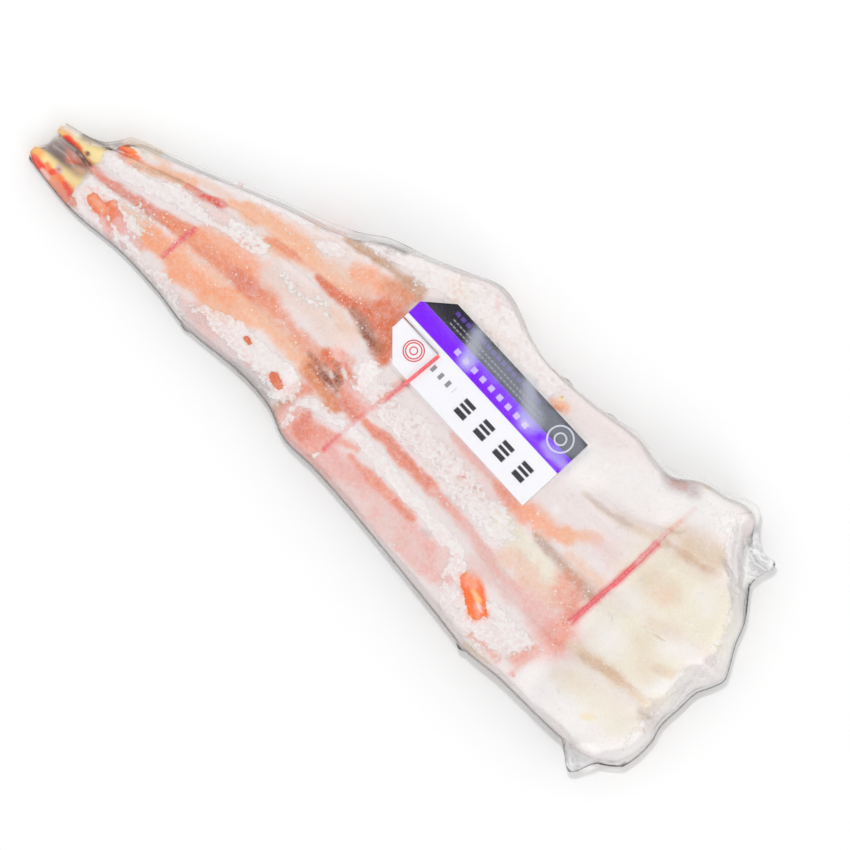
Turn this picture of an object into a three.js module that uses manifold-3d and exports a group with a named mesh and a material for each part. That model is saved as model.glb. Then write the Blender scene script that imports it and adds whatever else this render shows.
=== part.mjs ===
// A frozen king crab leg cluster: three walking legs, a folded claw arm and the shoulder meat they
// grow from, glazed with ice and shrunk into clear film, with three rubber bands and a card tag.
//
// Millimetres. +X runs from the leg tips to the shoulder, +Y across the legs, and +Z up from the
// face that the pack lies on. The origin is below the middle of the pack.

import * as THREE from 'three';
import Module from 'manifold-3d';
import { mergeVertices } from 'three/addons/utils/BufferGeometryUtils.js';

const wasm = await Module();
wasm.setup();

// ---------------------------------------------------------------- driving dimensions

const LENGTH = 500;               // leg tips to the far end of the shoulder
const GAP = 0.35;                 // clearance between one piece and the next
const FILM = 1.6;                 // thickness of a shrunk web or fin of film

const LEFT = 6 - LENGTH / 2;      // where the nominal stations start, before the tips bulge out
const RIGHT = LENGTH / 2 - 10;    // where they end, before the shoulder bulges out

const BAND = { width: 2.4, thickness: 1.2, sunk: 0.2, sunkBelow: 0.5 };
const BANDS = [
  { name: 'band_1', x: -148.5, lean: 0.09 },
  { name: 'band_2', x: -1.5, lean: 0.17 },
  { name: 'band_3', x: 163, lean: 0.12 },
];

// The tag lies at a slight angle, its square end towards the shoulder and its nose towards the tips.
const TAG = {
  length: 124,
  width: 50.5,
  thickness: 0.8,
  noseWidth: 21.6,
  chamferLength: 15.5,
  end: { x: 99, y: 29.8 },        // middle of the square end
  turn: THREE.MathUtils.degToRad(-6.3),
  slitLength: 29,
  slitWidth: 0.8,
  slitOffset: -2.2,               // from the tag's long axis
  bed: 0.55,                      // gap between it and the ice under it
  shelf: 5,                       // how far the ice under it runs on beyond its edge
  skirt: 22,                      // how far the film then takes to come down to the limbs
};

// ---------------------------------------------------------------- small functions

const { clamp, lerp, smoothstep } = THREE.MathUtils;

// A smooth function through the given [x, value] points, flat beyond both ends.
function through(points) {
  const slopes = points.map((point, i) => {
    const before = points[Math.max(i - 1, 0)];
    const after = points[Math.min(i + 1, points.length - 1)];
    return (after[1] - before[1]) / (after[0] - before[0]);
  });
  return (x) => {
    if (x <= points[0][0]) return points[0][1];
    const next = points.findIndex((point) => point[0] >= x);
    if (next < 0) return points[points.length - 1][1];
    const [x0, y0] = points[next - 1];
    const [x1, y1] = points[next];
    const span = x1 - x0;
    const t = (x - x0) / span;
    const keepStart = (1 + 2 * t) * (1 - t) ** 2;
    const leaveStart = t * (1 - t) ** 2 * span;
    const reachEnd = t * t * (t - 1) * span;
    return y0 * keepStart + y1 * (1 - keepStart) + slopes[next - 1] * leaveStart + slopes[next] * reachEnd;
  };
}

// A round bump of height 1 at the centre, and 0 from halfWidth outwards.
function bump(x, centre, halfWidth) {
  const t = clamp((x - centre) / halfWidth, -1, 1);
  return 0.5 + 0.5 * Math.cos(Math.PI * t);
}

// The larger of two heights from 0 up, rounded where they meet and less so where both are low.
function smoothMax(a, b, rounding) {
  const reach = Math.min(rounding, a + b);
  if (reach === 0) return 0;
  const overlap = Math.max(reach - Math.abs(a - b), 0) / reach;
  return Math.max(a, b) + (overlap * overlap * reach) / 4;
}

// ---------------------------------------------------------------- plan of the pack

// Outer side of the first leg, tip to shoulder.
const lowSide = through([
  [-250, -30], [-240, -32.2], [-208, -37.5], [-172, -37], [-140, -40.5], [-116, -45.2], [-76, -44.6],
  [-50, -48], [-31, -56.5], [-8, -58], [20, -61.5], [60, -68], [100, -75], [126, -79.6], [150, -79],
  [190, -81.3], [214, -81], [228, -77.5], [240, -69], [250, -60],
]);

// Edge of the film above the third leg and the claw arm, with the elbow at x = 5.
const highSide = through([
  [-250, -2.5], [-240, -0.5], [-228, 1.6], [-219, 5.8], [-213.5, 12], [-210, 17.2], [-190, 23.6],
  [-170, 30], [-140, 40.6], [-110, 50], [-90, 55.5], [-74, 62.5], [-60, 70.5], [-35, 77.5],
  [-14, 85], [5, 91.5], [20, 89], [42, 79], [58, 75.4], [90, 75.6], [120, 78.4], [148, 76],
  [164, 83.6], [180, 86.5], [190, 91], [197, 92.5], [202, 90.5], [207, 83.5], [213, 78],
  [220, 74.5], [227, 75], [250, 72],
]);

// Valleys between the limbs: first and second leg, second and third, third leg and claw arm.
const valleys = [
  through([[-250, -15.7], [-215, -12], [-180, -8], [-150, -4.5], [-100, -5], [-60, -8], [-38, -12],
    [0, -17], [50, -21.5], [90, -28.5], [130, -36], [160, -37.5], [240, -35]]),
  through([[-250, -2.5], [-235, -0.6], [-222, 2], [-212, 3.8], [-190, 9], [-160, 17], [-130, 23],
    [-80, 25], [-45, 26], [-26, 21], [0, 13.5], [50, 7.5], [80, 1.5], [110, -2], [150, -5], [180, -2],
    [240, 4]]),
  through([[-235, -0.4], [-222, 3.2], [-212, 11], [-200, 18], [-180, 23.8], [-150, 33.2], [-120, 43],
    [-100, 47.5], [-60, 56], [-25, 59.5], [0, 60], [30, 57], [60, 50], [100, 37], [140, 35.5],
    [165, 42], [200, 51], [240, 46]]),
];

// How far each of the first two tips stands off the line between them, with only film there.
const TIP_OPENING = { halfWidth: 5, starts: -210, full: -232 };
const tipOpening = (x) => TIP_OPENING.halfWidth * smoothstep(-x, -TIP_OPENING.starts, -TIP_OPENING.full);

// How far the film stands off the limbs along its high edge.
const filmStrip = through([[-212, 3.2], [-120, 3.6], [-80, 4.6], [-55, 3], [-30, 0.8], [120, 0.6], [150, 2.4],
  [175, 0.8], [200, 4]]);

// Fin of film that sticks out at the low corner of the shoulder.
const lowFin = through([[201, 0], [208, 5.4], [213, 10], [216.5, 11.8], [220, 9.4], [223, 3], [225.5, 0]]);

// Small puckers of the film along both edges: place along the pack, half length and height.
const LOW_PUCKERS = [[123, 5, 1.6], [-115, 6, 0.9]];
const HIGH_PUCKERS = [[102, 5, 1], [117, 6, 1.2], [70, 6, 1.4]];
const puckers = (list, x) => list.reduce((sum, [at, half, height]) => sum + height * bump(x, at, half), 0);
const lowRim = (x) => lowSide(x) - lowFin(x) - puckers(LOW_PUCKERS, x);
const highRim = (x) => highSide(x) + puckers(HIGH_PUCKERS, x);

// Both ends of the pack, by distance across it. The first two tips bulge out of the left one.
const TIP_BULGES = [[-25.7, 10, 6], [-5.5, 7, 2]];
const leftEnd = (y) => LEFT - puckers(TIP_BULGES, y);
const rightEnd = through([[-80, 230], [-66, 239.5], [-50, 241.5], [-38, 239.5], [-24, 241], [-11, 242.5],
  [-3, 247], [5, LENGTH / 2], [13, 247], [24, 241.5], [38, 236.5], [48, 229], [54, 225], [62, 226],
  [70, 228.8], [75, 226.5]]);

// 0 in the middle of the high corner, where the film stands off as a wide fin, and 1 clear of it.
const HIGH_CORNER = { y: 72, halfWidth: 30 };
const clearOfCorner = (y) => 1 - bump(y, HIGH_CORNER.y, HIGH_CORNER.halfWidth);

// How far the film runs on beyond the shoulder meat, and by how much more at its bay and high corner.
const STAND_OFF = 2.5;
const WIDE_STAND_OFF = [[-8, 28, 5], [HIGH_CORNER.y, 24, 19]];
const endStandOff = (y) => STAND_OFF + puckers(WIDE_STAND_OFF, y);

// ---------------------------------------------------------------- heights

// Level at which the film's webs and seams lie, and the limbs are widest.
const midLevel = through([[-250, 5], [-205, 8], [-100, 11.5], [0, 14.5], [100, 16.5], [190, 18], [250, 13]]);

const JOINT = { dip: 2.4, reach: 12 };   // how far a leg's crest drops at its joint, and for how long

// Each limb lies between two sides and has its own crest height, rounded tip and joint.
const limbs = [
  {
    low: lowSide,
    high: (x) => valleys[0](x) - tipOpening(x),
    outerLow: true,
    tip: -249.6,
    tipLength: 11,
    joint: -43,
    crest: through([[-250, 11], [-235, 14], [-214, 17.5], [-200, 20], [-150, 25], [-100, 27.5], [-60, 28],
      [-25, 31], [0, 33], [50, 36], [100, 37.5], [150, 38.5], [200, 39], [240, 34]]),
  },
  {
    low: (x) => valleys[0](x) + tipOpening(x),
    high: valleys[1],
    tip: -245.8,
    tipLength: 10,
    joint: -33,
    crest: through([[-245, 10.5], [-232, 13], [-214, 16.5], [-200, 19.5], [-150, 25], [-100, 29], [-60, 31],
      [-10, 34], [50, 38], [100, 41], [150, 43.5], [200, 45], [240, 40]]),
  },
  {
    low: valleys[1],
    high: valleys[2],
    tip: -212.5,
    tipLength: 12,
    joint: -27,
    crest: through([[-212, 12], [-200, 15], [-150, 22], [-100, 27.5], [-60, 32], [0, 37], [50, 41], [100, 44],
      [150, 47.5], [190, 49.5], [240, 42]]),
  },
  {
    low: valleys[2],
    high: (x) => highSide(x) - filmStrip(x),
    outerHigh: true,
    tip: -108,
    tipLength: 40,
    joint: -6,
    crest: through([[-108, 14], [-80, 22], [-50, 29], [-20, 34], [5, 36.5], [50, 36], [100, 38.5], [150, 42],
      [190, 43], [215, 36]]),
  },
];

const OVERLAP = 1.25;             // how much wider a limb is than its lane, on a side with a neighbour
const END_ROUNDING = { plain: 18, corner: 28 };   // how long the shoulder's far end takes to round off
const SHOULDER_CREASE = { x: 171, halfWidth: 14, depth: 1.6 };
const LIMB_BLEND = { legs: 10, shoulder: 40, starts: 150, full: 195 };   // rounding of the valleys
const UNDER_BLEND = 3;            // the same underneath
const ROUNDNESS = { across: 2.5, tip: 2.2, end: 2.4, height: 0.45 };    // powers of a limb's section
const UNDERSIDE = 1.35;           // depth of a limb below its widest level, as a share of that level

// How full the limb is at a point: 1 on its crest, 0 at its sides and its tip.
function fullness(limb, x, y) {
  const low = limb.low(x);
  const high = limb.high(x);
  const middle = (low + high) / 2;
  const lowReach = (middle - low) * (limb.outerLow ? 1 : OVERLAP);
  const highReach = (high - middle) * (limb.outerHigh ? 1 : OVERLAP);
  const across = y < middle ? (middle - y) / lowReach : (y - middle) / highReach;
  const toTip = clamp(1 - (x - limb.tip) / limb.tipLength, 0, 1);
  const endRounding = lerp(END_ROUNDING.corner, END_ROUNDING.plain, clearOfCorner(y));
  const toEnd = clamp(1 - (rightEnd(y) - endStandOff(y) - x) / endRounding, 0, 1);
  const left = 1 - across ** ROUNDNESS.across - toTip ** ROUNDNESS.tip - toEnd ** ROUNDNESS.end;
  return left > 0 ? left ** ROUNDNESS.height : 0;
}

const FULL_RELIEF = 12;           // height above the rims from which the relief shows in full

// A spine on the claw arm and a knuckle at the first leg's shoulder.
const MOUNDS = [
  { x: 73, y: 63, height: 2.6, halfWidth: 6 },
  { x: 190, y: -58, height: 2, halfWidth: 26 },
];

// Uneven ice and what stands out under it, in mm above the plain limbs.
function relief(x, y) {
  const ripples = 0.55 * Math.sin(x / 9 + y / 17) * Math.sin(y / 8 - x / 31);
  const swells = 0.4 * Math.sin(x / 21 - y / 6);
  const mounds = MOUNDS.map((mound) => {
    return mound.height * bump(Math.hypot(x - mound.x, y - mound.y), 0, mound.halfWidth);
  });
  return mounds.reduce((sum, height) => sum + height, ripples + swells);
}

function riseAbove(x, y) {
  const mid = midLevel(x);
  const crease = SHOULDER_CREASE.depth * bump(x, SHOULDER_CREASE.x, SHOULDER_CREASE.halfWidth);
  const heights = limbs.map((limb) => {
    const joint = JOINT.dip * bump(x, limb.joint, JOINT.reach);
    return (limb.crest(x) - mid - joint - crease) * fullness(limb, x, y);
  });
  const shoulder = smoothstep(x, LIMB_BLEND.starts, LIMB_BLEND.full);
  const rounding = lerp(LIMB_BLEND.legs, LIMB_BLEND.shoulder, shoulder);
  const rise = heights.reduce((sum, height) => smoothMax(sum, height, rounding));
  return rise + relief(x, y) * clamp(rise / FULL_RELIEF, 0, 1);
}

function dropBelow(x, y) {
  const depths = limbs.map((limb) => UNDERSIDE * midLevel(x) * fullness(limb, x, y));
  return depths.reduce((sum, depth) => smoothMax(sum, depth, UNDER_BLEND));
}

// ---------------------------------------------------------------- the tag's surface

// It lies across the third leg and the claw arm, so that it is arched, and twisted along its length.
const tagCrest = through([[-124, 35.8], [-90, 37.8], [-50, 40.8], [0, 44.4]]);
const tagTilt = through([[-124, 0.08], [0, -0.06]]);
const TAG_ARCH = 0.0057;

// Half the tag's width at a distance along it, with its nose at -length and its square end at 0.
function tagHalfWidth(along) {
  const chamfer = clamp((along + TAG.length) / TAG.chamferLength, 0, 1);
  return lerp(TAG.noseWidth, TAG.width, chamfer) / 2;
}

function toTag(x, y) {
  const dx = x - TAG.end.x;
  const dy = y - TAG.end.y;
  return {
    along: dx * Math.cos(TAG.turn) + dy * Math.sin(TAG.turn),
    across: dy * Math.cos(TAG.turn) - dx * Math.sin(TAG.turn),
  };
}

function tagUnderside(along, across) {
  return tagCrest(along) + tagTilt(along) * across - TAG_ARCH * across ** 2;
}

// 1 under the tag, fading to 0 where the film has come down off its edge.
function tagCover(along, across) {
  const beyond = Math.max(Math.abs(across) - tagHalfWidth(along), along, -TAG.length - along);
  return 1 - smoothstep(beyond, TAG.shelf, TAG.shelf + TAG.skirt);
}

// ---------------------------------------------------------------- the pack's surface

function topLevel(x, y) {
  const plain = midLevel(x) + Math.max(riseAbove(x, y), FILM / 2);
  const { along, across } = toTag(x, y);
  const cover = tagCover(along, across);
  return cover > 0 ? lerp(plain, tagUnderside(along, across) - TAG.bed, cover) : plain;
}

const bottomLevel = (x, y) => Math.max(midLevel(x) - Math.max(dropBelow(x, y), FILM / 2), 0);

const LANE_STEPS = [8, 7, 7, 8];  // steps across each limb, finer towards its sides
const CLOSED_LANES = 1.2;         // the third leg's and claw arm's lanes close up where they are narrower

// The lines along the pack that its rings are strung on: its rims and the valleys between its limbs.
function guideLines(x) {
  const high = highRim(x);
  const [first, second, third] = valleys.map((valley) => valley(x));
  const closed = high - second < CLOSED_LANES;
  return [lowRim(x), first, closed ? high : second, closed ? high : third, high];
}

const lanePositions = LANE_STEPS.flatMap((steps, lane) =>
  Array.from({ length: steps }, (_, i) => lane + 0.5 - 0.5 * Math.cos((Math.PI * i) / steps)),
).concat(LANE_STEPS.length);

function guideLevel(x, position) {
  const lane = Math.min(Math.floor(position), LANE_STEPS.length - 1);
  const lines = guideLines(x);
  return lerp(lines[lane], lines[lane + 1], position - lane);
}

// How long the stations take to bend from straight to the outline of each end.
const END_SPREAD = { left: 45, right: 92 };

const stationLean = through([[LEFT, 0], ...BANDS.map((band) => [band.x, band.lean]), [RIGHT, 0]]);

// Where a nominal station crosses one of the lines.
function planPoint(station, position) {
  const y = guideLevel(station, position);
  const leftShift = (leftEnd(y) - LEFT) * (1 - smoothstep(station, LEFT, LEFT + END_SPREAD.left));
  const rightShift = (rightEnd(y) - RIGHT) * smoothstep(station, RIGHT - END_SPREAD.right, RIGHT);
  const x = station + stationLean(station) * y + leftShift + rightShift;
  return new THREE.Vector2(x, guideLevel(x, position));
}

// The closed ring round the pack at a station: over the top from the low rim, and back underneath.
function packRing(station) {
  const plan = lanePositions.map((position) => planPoint(station, position));
  const last = plan.length - 1;
  const atEnd = station <= LEFT || station >= RIGHT;
  const over = plan.map(({ x, y }, i) => {
    const onRim = atEnd || i === 0 || i === last;
    return new THREE.Vector3(x, y, onRim ? midLevel(x) : topLevel(x, y));
  });
  const under = plan.slice(1, last).reverse().map(({ x, y }) => {
    return new THREE.Vector3(x, y, atEnd ? midLevel(x) : bottomLevel(x, y));
  });
  return [...over, ...under];
}

// Outward direction at each point of a ring, square to the ring and to the pack's length.
function ringNormals(ring) {
  return ring.map((_, i) => {
    const before = ring[(i + ring.length - 1) % ring.length];
    const after = ring[(i + 1) % ring.length];
    return new THREE.Vector3(0, before.z - after.z, after.y - before.y).normalize();
  });
}

function grow(ring, distance) {
  const normals = ringNormals(ring);
  return ring.map((point, i) => point.clone().addScaledVector(normals[i], distance(point, normals[i])));
}

// ---------------------------------------------------------------- bands

// How far a band's outer face stands above the pack. It is sunk in the ice, on the underside clear of
// the floor. Over the low side of the tag it passes outside the card, and past the slit it runs under it.
function bandLift(point, normal) {
  const plain = -lerp(BAND.sunkBelow, BAND.sunk, smoothstep(normal.z, -0.25, 0.3));
  const { along, across } = toTag(point.x, point.y);
  if (normal.z < 0 || tagCover(along, across) < 0.9) return plain;
  const overTag = TAG.bed + TAG.thickness + GAP + BAND.thickness;
  return across < TAG.slitOffset ? overTag : -BAND.sunk;
}

const grooveDepth = (point, normal) => Math.max(BAND.thickness + GAP - bandLift(point, normal), 0.3);

// ---------------------------------------------------------------- meshes

// Joins rings of equal length, in order, and the last to the first where the body is a loop. Each
// four-sided gap is split along its shorter diagonal.
function skinRings(rings, closed) {
  const points = rings.flat();
  const size = rings[0].length;
  const index = [];
  for (let r = 0; r < (closed ? rings.length : rings.length - 1); r += 1) {
    const here = r * size;
    const there = ((r + 1) % rings.length) * size;
    for (let i = 0; i < size; i += 1) {
      const next = (i + 1) % size;
      const [a, b, c, d] = [here + i, there + i, there + next, here + next];
      const splitsAtA = points[a].distanceTo(points[c]) <= points[b].distanceTo(points[d]);
      index.push(...(splitsAtA ? [a, b, c, a, c, d] : [b, c, d, b, d, a]));
    }
  }
  return closedGeometry(points.flatMap((point) => point.toArray()), index);
}

// Merges equal points and leaves out triangles that merging has closed up.
function closedGeometry(positions, index) {
  const geometry = new THREE.BufferGeometry();
  geometry.setAttribute('position', new THREE.Float32BufferAttribute(positions, 3));
  geometry.setIndex(index);
  const merged = mergeVertices(geometry, 0.002);
  const kept = [];
  for (let i = 0; i < merged.index.count; i += 3) {
    const [a, b, c] = [0, 1, 2].map((corner) => merged.index.getX(i + corner));
    if (a !== b && b !== c && c !== a) kept.push(a, b, c);
  }
  merged.setIndex(kept);
  return merged;
}

function toSolid(geometry) {
  return new wasm.Manifold(new wasm.Mesh({
    numProp: 3,
    vertProperties: new Float32Array(geometry.attributes.position.array),
    triVerts: new Uint32Array(geometry.index.array),
  }));
}

function fromSolid(solid) {
  const mesh = solid.getMesh();
  return closedGeometry(Array.from(mesh.vertProperties), Array.from(mesh.triVerts));
}

// Stations along the pack, closer together at the tips and over the shoulder's film.
const STRETCHES = [
  { from: LEFT, to: -205, step: 3.2 },
  { from: -205, to: 170, step: 6.8 },
  { from: 170, to: RIGHT, step: 4.6 },
];

// Evenly spaced places from one end of a stretch up to the other.
function spaced(from, to, step) {
  const count = Math.round((to - from) / step);
  return Array.from({ length: count }, (_, i) => lerp(from, to, i / count));
}

function packGeometry() {
  const grooveHalf = BAND.width / 2 + GAP;
  const clearOfBands = (x) => BANDS.every((band) => Math.abs(x - band.x) > grooveHalf + 1.5);
  const plain = STRETCHES.flatMap(({ from, to, step }) => spaced(from, to, step)).concat(RIGHT);
  const stations = plain.filter(clearOfBands).map((x) => ({ x, order: 0 }));
  BANDS.forEach((band) => {
    stations.push({ x: band.x - grooveHalf, order: 0 }, { x: band.x - grooveHalf, order: 1, sunk: true });
    stations.push({ x: band.x + grooveHalf, order: 0, sunk: true }, { x: band.x + grooveHalf, order: 1 });
  });
  stations.sort((a, b) => a.x - b.x || a.order - b.order);
  const rings = stations.map(({ x, sunk }) => {
    const ring = packRing(x);
    return sunk ? grow(ring, (point, normal) => -grooveDepth(point, normal)) : ring;
  });
  return skinRings(rings, false);
}

// A band, or with a margin the space that it needs.
function bandGeometry(band, margin) {
  const [near, far] = [-1, 1].map((side) => packRing(band.x + side * (BAND.width / 2 + margin)));
  const outer = (ring) => grow(ring, (point, normal) => bandLift(point, normal) + margin);
  const inner = (ring) => grow(ring, (point, normal) => bandLift(point, normal) - BAND.thickness - margin);
  return skinRings([outer(near), outer(far), inner(far), inner(near)], true);
}

// A thin plate that follows the tag's surface, walled round its outline.
function tagGeometry() {
  const rows = 9;
  const columns = 14;
  const ringAt = (along) => {
    const half = tagHalfWidth(along);
    const level = (height) => Array.from({ length: rows }, (_, i) => {
      const across = half * ((2 * i) / (rows - 1) - 1);
      const x = TAG.end.x + along * Math.cos(TAG.turn) - across * Math.sin(TAG.turn);
      const y = TAG.end.y + along * Math.sin(TAG.turn) + across * Math.cos(TAG.turn);
      return new THREE.Vector3(x, y, tagUnderside(along, across) + height);
    });
    return [...level(TAG.thickness), ...level(0).reverse()];
  };
  const square = Array.from({ length: columns + 1 }, (_, i) =>
    lerp(TAG.chamferLength - TAG.length, 0, i / columns));
  const alongs = [-TAG.length, TAG.chamferLength / 2 - TAG.length, ...square];
  return capEnds(alongs.map(ringAt));
}

// Skins the rings and closes the first and last with a strip between their two faces.
function capEnds(rings) {
  const skin = skinRings(rings, false);
  const size = rings[0].length;
  const positions = Array.from(skin.attributes.position.array);
  const index = Array.from(skin.index.array);
  [[rings[0], false], [rings[rings.length - 1], true]].forEach(([ring, far]) => {
    const first = positions.length / 3;
    positions.push(...ring.flatMap((point) => point.toArray()));
    for (let i = 0; i < size / 2 - 1; i += 1) {
      const corners = [first + i, first + i + 1, first + size - 2 - i, first + size - 1 - i];
      const [a, b, c, d] = far ? corners.reverse() : corners;
      index.push(a, b, c, a, c, d);
    }
  });
  return closedGeometry(positions, index);
}

// The slit that the second band is slipped through, from the tag's nose along it.
function slitSolid() {
  const slit = new THREE.BoxGeometry(TAG.slitLength + 4, TAG.slitWidth, 40);
  slit.translate(-TAG.length - 4 + (TAG.slitLength + 4) / 2, TAG.slitOffset, 36);
  slit.rotateZ(TAG.turn);
  slit.translate(TAG.end.x, TAG.end.y, 0);
  slit.deleteAttribute('normal');
  slit.deleteAttribute('uv');
  return toSolid(mergeVertices(slit));
}

function slitTag() {
  const throughBand = toSolid(bandGeometry(BANDS[1], GAP));
  return fromSolid(toSolid(tagGeometry()).subtract(slitSolid()).subtract(throughBand));
}

// ---------------------------------------------------------------- assembly

const icedFilm = new THREE.MeshStandardMaterial({ color: 0xeeb9a2, roughness: 0.35, metalness: 0 });
const redRubber = new THREE.MeshStandardMaterial({ color: 0xd8404a, roughness: 0.55, metalness: 0 });
const card = new THREE.MeshStandardMaterial({ color: 0xf4f4f6, roughness: 0.3, metalness: 0 });

function named(name, geometry, material) {
  const mesh = new THREE.Mesh(geometry, material);
  mesh.name = name;
  return mesh;
}

const group = new THREE.Group();
group.add(named('bag', packGeometry(), icedFilm));
BANDS.forEach((band) => group.add(named(band.name, bandGeometry(band, 0), redRubber)));
group.add(named('label', slitTag(), card));

export default group;
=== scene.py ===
"""A frozen king crab leg cluster in clear film: three walking legs, a folded claw arm and the
shoulder meat, glazed with ice, with three rubber bands and a card tag under the film.

Lengths are in millimetres until a mesh is made, in the CAD model's frame: +X runs from the leg
tips to the shoulder, +Y across the legs and +Z up. The plan and the heights repeat part.mjs.
"""

import bpy
import numpy as np
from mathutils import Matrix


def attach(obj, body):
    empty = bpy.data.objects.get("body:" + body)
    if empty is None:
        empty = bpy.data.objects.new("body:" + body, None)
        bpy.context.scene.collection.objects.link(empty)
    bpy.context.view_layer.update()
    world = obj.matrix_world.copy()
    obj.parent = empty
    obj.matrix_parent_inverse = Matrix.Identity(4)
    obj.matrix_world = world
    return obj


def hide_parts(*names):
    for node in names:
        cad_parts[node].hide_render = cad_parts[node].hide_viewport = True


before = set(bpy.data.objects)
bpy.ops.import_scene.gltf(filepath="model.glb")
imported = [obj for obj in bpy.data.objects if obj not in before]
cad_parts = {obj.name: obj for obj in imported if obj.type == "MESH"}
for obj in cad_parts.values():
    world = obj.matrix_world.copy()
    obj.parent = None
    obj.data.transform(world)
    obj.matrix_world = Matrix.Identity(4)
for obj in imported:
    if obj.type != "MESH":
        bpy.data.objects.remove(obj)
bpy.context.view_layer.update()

MM = 0.001

# ---------------------------------------------------------------- driving dimensions

LENGTH = 500                  # leg tips to the far end of the shoulder
FILM = 1.6                    # thickness of a web or fin of film
LEFT = 6 - LENGTH / 2         # where the nominal stations start and end
RIGHT = LENGTH / 2 - 10

ICE_BELOW_FILM = 0.6          # how far the ice lies under the film
WINDOW_SINK = 0.45            # how much deeper it is where it is clear
SHELL_BELOW_FILM = 1.8        # how far the crab's shell lies under the film
MEAT_BELOW_FILM = 2.4         # and the same for the shoulder meat
SHOULDER_START = 168          # where the meat starts

# Each band's place along the pack, and how much further along it lies for each millimetre across.
BANDS = {"band_1": (-148.5, 0.09), "band_2": (-1.5, 0.17), "band_3": (163, 0.12)}
BAND_WIDTH = 2.2
BAND_THICKNESS = 1.1
BAND_SUNK = 1.5               # how far its outer face lies under the film, where frost hides it
BAND_SHOWN = 0.35             # the same where it shows

TAG_LENGTH = 124
TAG_WIDTH = 50.5
TAG_THICKNESS = 0.8
TAG_NOSE = 21.6               # width of its cut end
TAG_CHAMFER = 15.5            # length over which it widens
TAG_END = (99, 29.8)          # middle of its square end
TAG_TURN = np.radians(-6.3)
TAG_ARCH = 0.0057             # how much the card bends down towards its sides
TAG_BED = 0.55                # gap between the card and the bed that it lies on
TAG_SHELF = 5                 # how far the bed runs on past the card's edge
TAG_SKIRT = 22                # length over which it comes down from there
SLIT_LENGTH = 29
SLIT_WIDTH = 0.8
SLIT_OFFSET = -2.2            # the slit's place across the card

# ---------------------------------------------------------------- small functions


def clip01(x):
    return np.clip(x, 0, 1)


def lerp(a, b, t):
    return a + (b - a) * t


def smoothstep(x, low, high):
    t = clip01((x - low) / (high - low))
    return t * t * (3 - 2 * t)


def bump(x, centre, half_width):
    """A round bump of height 1 at the centre, and 0 from half_width outwards."""
    return 0.5 + 0.5 * np.cos(np.pi * np.clip((x - centre) / half_width, -1, 1))


def smooth_max(a, b, rounding):
    """The larger of two heights from 0 up, rounded where they meet and less so where both are low."""
    reach = np.clip(a + b, 1e-6, rounding)
    overlap = np.maximum(reach - np.abs(a - b), 0) / reach
    return np.maximum(a, b) + overlap**2 * reach / 4


def through(points):
    """A smooth function through the given (x, value) points, flat beyond both ends."""
    xs, ys = np.array(points, float).T
    last = len(xs) - 1
    before = np.maximum(np.arange(last + 1) - 1, 0)
    after = np.minimum(np.arange(last + 1) + 1, last)
    slopes = (ys[after] - ys[before]) / (xs[after] - xs[before])

    def value(x):
        x = np.clip(x, xs[0], xs[-1])
        i = np.clip(np.searchsorted(xs, x) - 1, 0, last - 1)
        span = xs[i + 1] - xs[i]
        t = (x - xs[i]) / span
        keep_start = (1 + 2 * t) * (1 - t) ** 2
        leave_start = t * (1 - t) ** 2 * span
        reach_end = t * t * (t - 1) * span
        ends = ys[i] * keep_start + ys[i + 1] * (1 - keep_start)
        return ends + slopes[i] * leave_start + slopes[i + 1] * reach_end

    return value


def lattice_noise(seed):
    """Smooth noise from -1 to 1 in the plan, the same for each seed, with features of a given size."""
    cells = 64
    table = np.random.default_rng(seed).uniform(-1, 1, (cells, cells))
    cosine, sine = np.cos(0.6), np.sin(0.6)

    def value(x, y, size):
        u, v = (x * cosine + y * sine) / size, (y * cosine - x * sine) / size
        i, j = np.floor(u).astype(int), np.floor(v).astype(int)
        s, t = smoothstep(u - i, 0, 1), smoothstep(v - j, 0, 1)

        def at(di, dj):
            return table[(i + di) % cells, (j + dj) % cells]

        return lerp(lerp(at(0, 0), at(1, 0), s), lerp(at(0, 1), at(1, 1), s), t)

    return value


coarse_noise = lattice_noise(11)
fine_noise = lattice_noise(12)
crease_noise = lattice_noise(13)

# ---------------------------------------------------------------- plan of the pack

low_side = through([
    (-250, -30), (-240, -32.2), (-208, -37.5), (-172, -37), (-140, -40.5), (-116, -45.2), (-76, -44.6),
    (-50, -48), (-31, -56.5), (-8, -58), (20, -61.5), (60, -68), (100, -75), (126, -79.6), (150, -79),
    (190, -81.3), (214, -81), (228, -77.5), (240, -69), (250, -60)])
high_side = through([
    (-250, -2.5), (-240, -0.5), (-228, 1.6), (-219, 5.8), (-213.5, 12), (-210, 17.2), (-190, 23.6),
    (-170, 30), (-140, 40.6), (-110, 50), (-90, 55.5), (-74, 62.5), (-60, 70.5), (-35, 77.5), (-14, 85),
    (5, 91.5), (20, 89), (42, 79), (58, 75.4), (90, 75.6), (120, 78.4), (148, 76), (164, 83.6),
    (180, 86.5), (190, 91), (197, 92.5), (202, 90.5), (207, 83.5), (213, 78), (220, 74.5), (227, 75),
    (250, 72)])
valley_12 = through([
    (-250, -15.7), (-215, -12), (-180, -8), (-150, -4.5), (-100, -5), (-60, -8), (-38, -12), (0, -17),
    (50, -21.5), (90, -28.5), (130, -36), (160, -37.5), (240, -35)])
valley_23 = through([
    (-250, -2.5), (-235, -0.6), (-222, 2), (-212, 3.8), (-190, 9), (-160, 17), (-130, 23), (-80, 25),
    (-45, 26), (-26, 21), (0, 13.5), (50, 7.5), (80, 1.5), (110, -2), (150, -5), (180, -2), (240, 4)])
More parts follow.
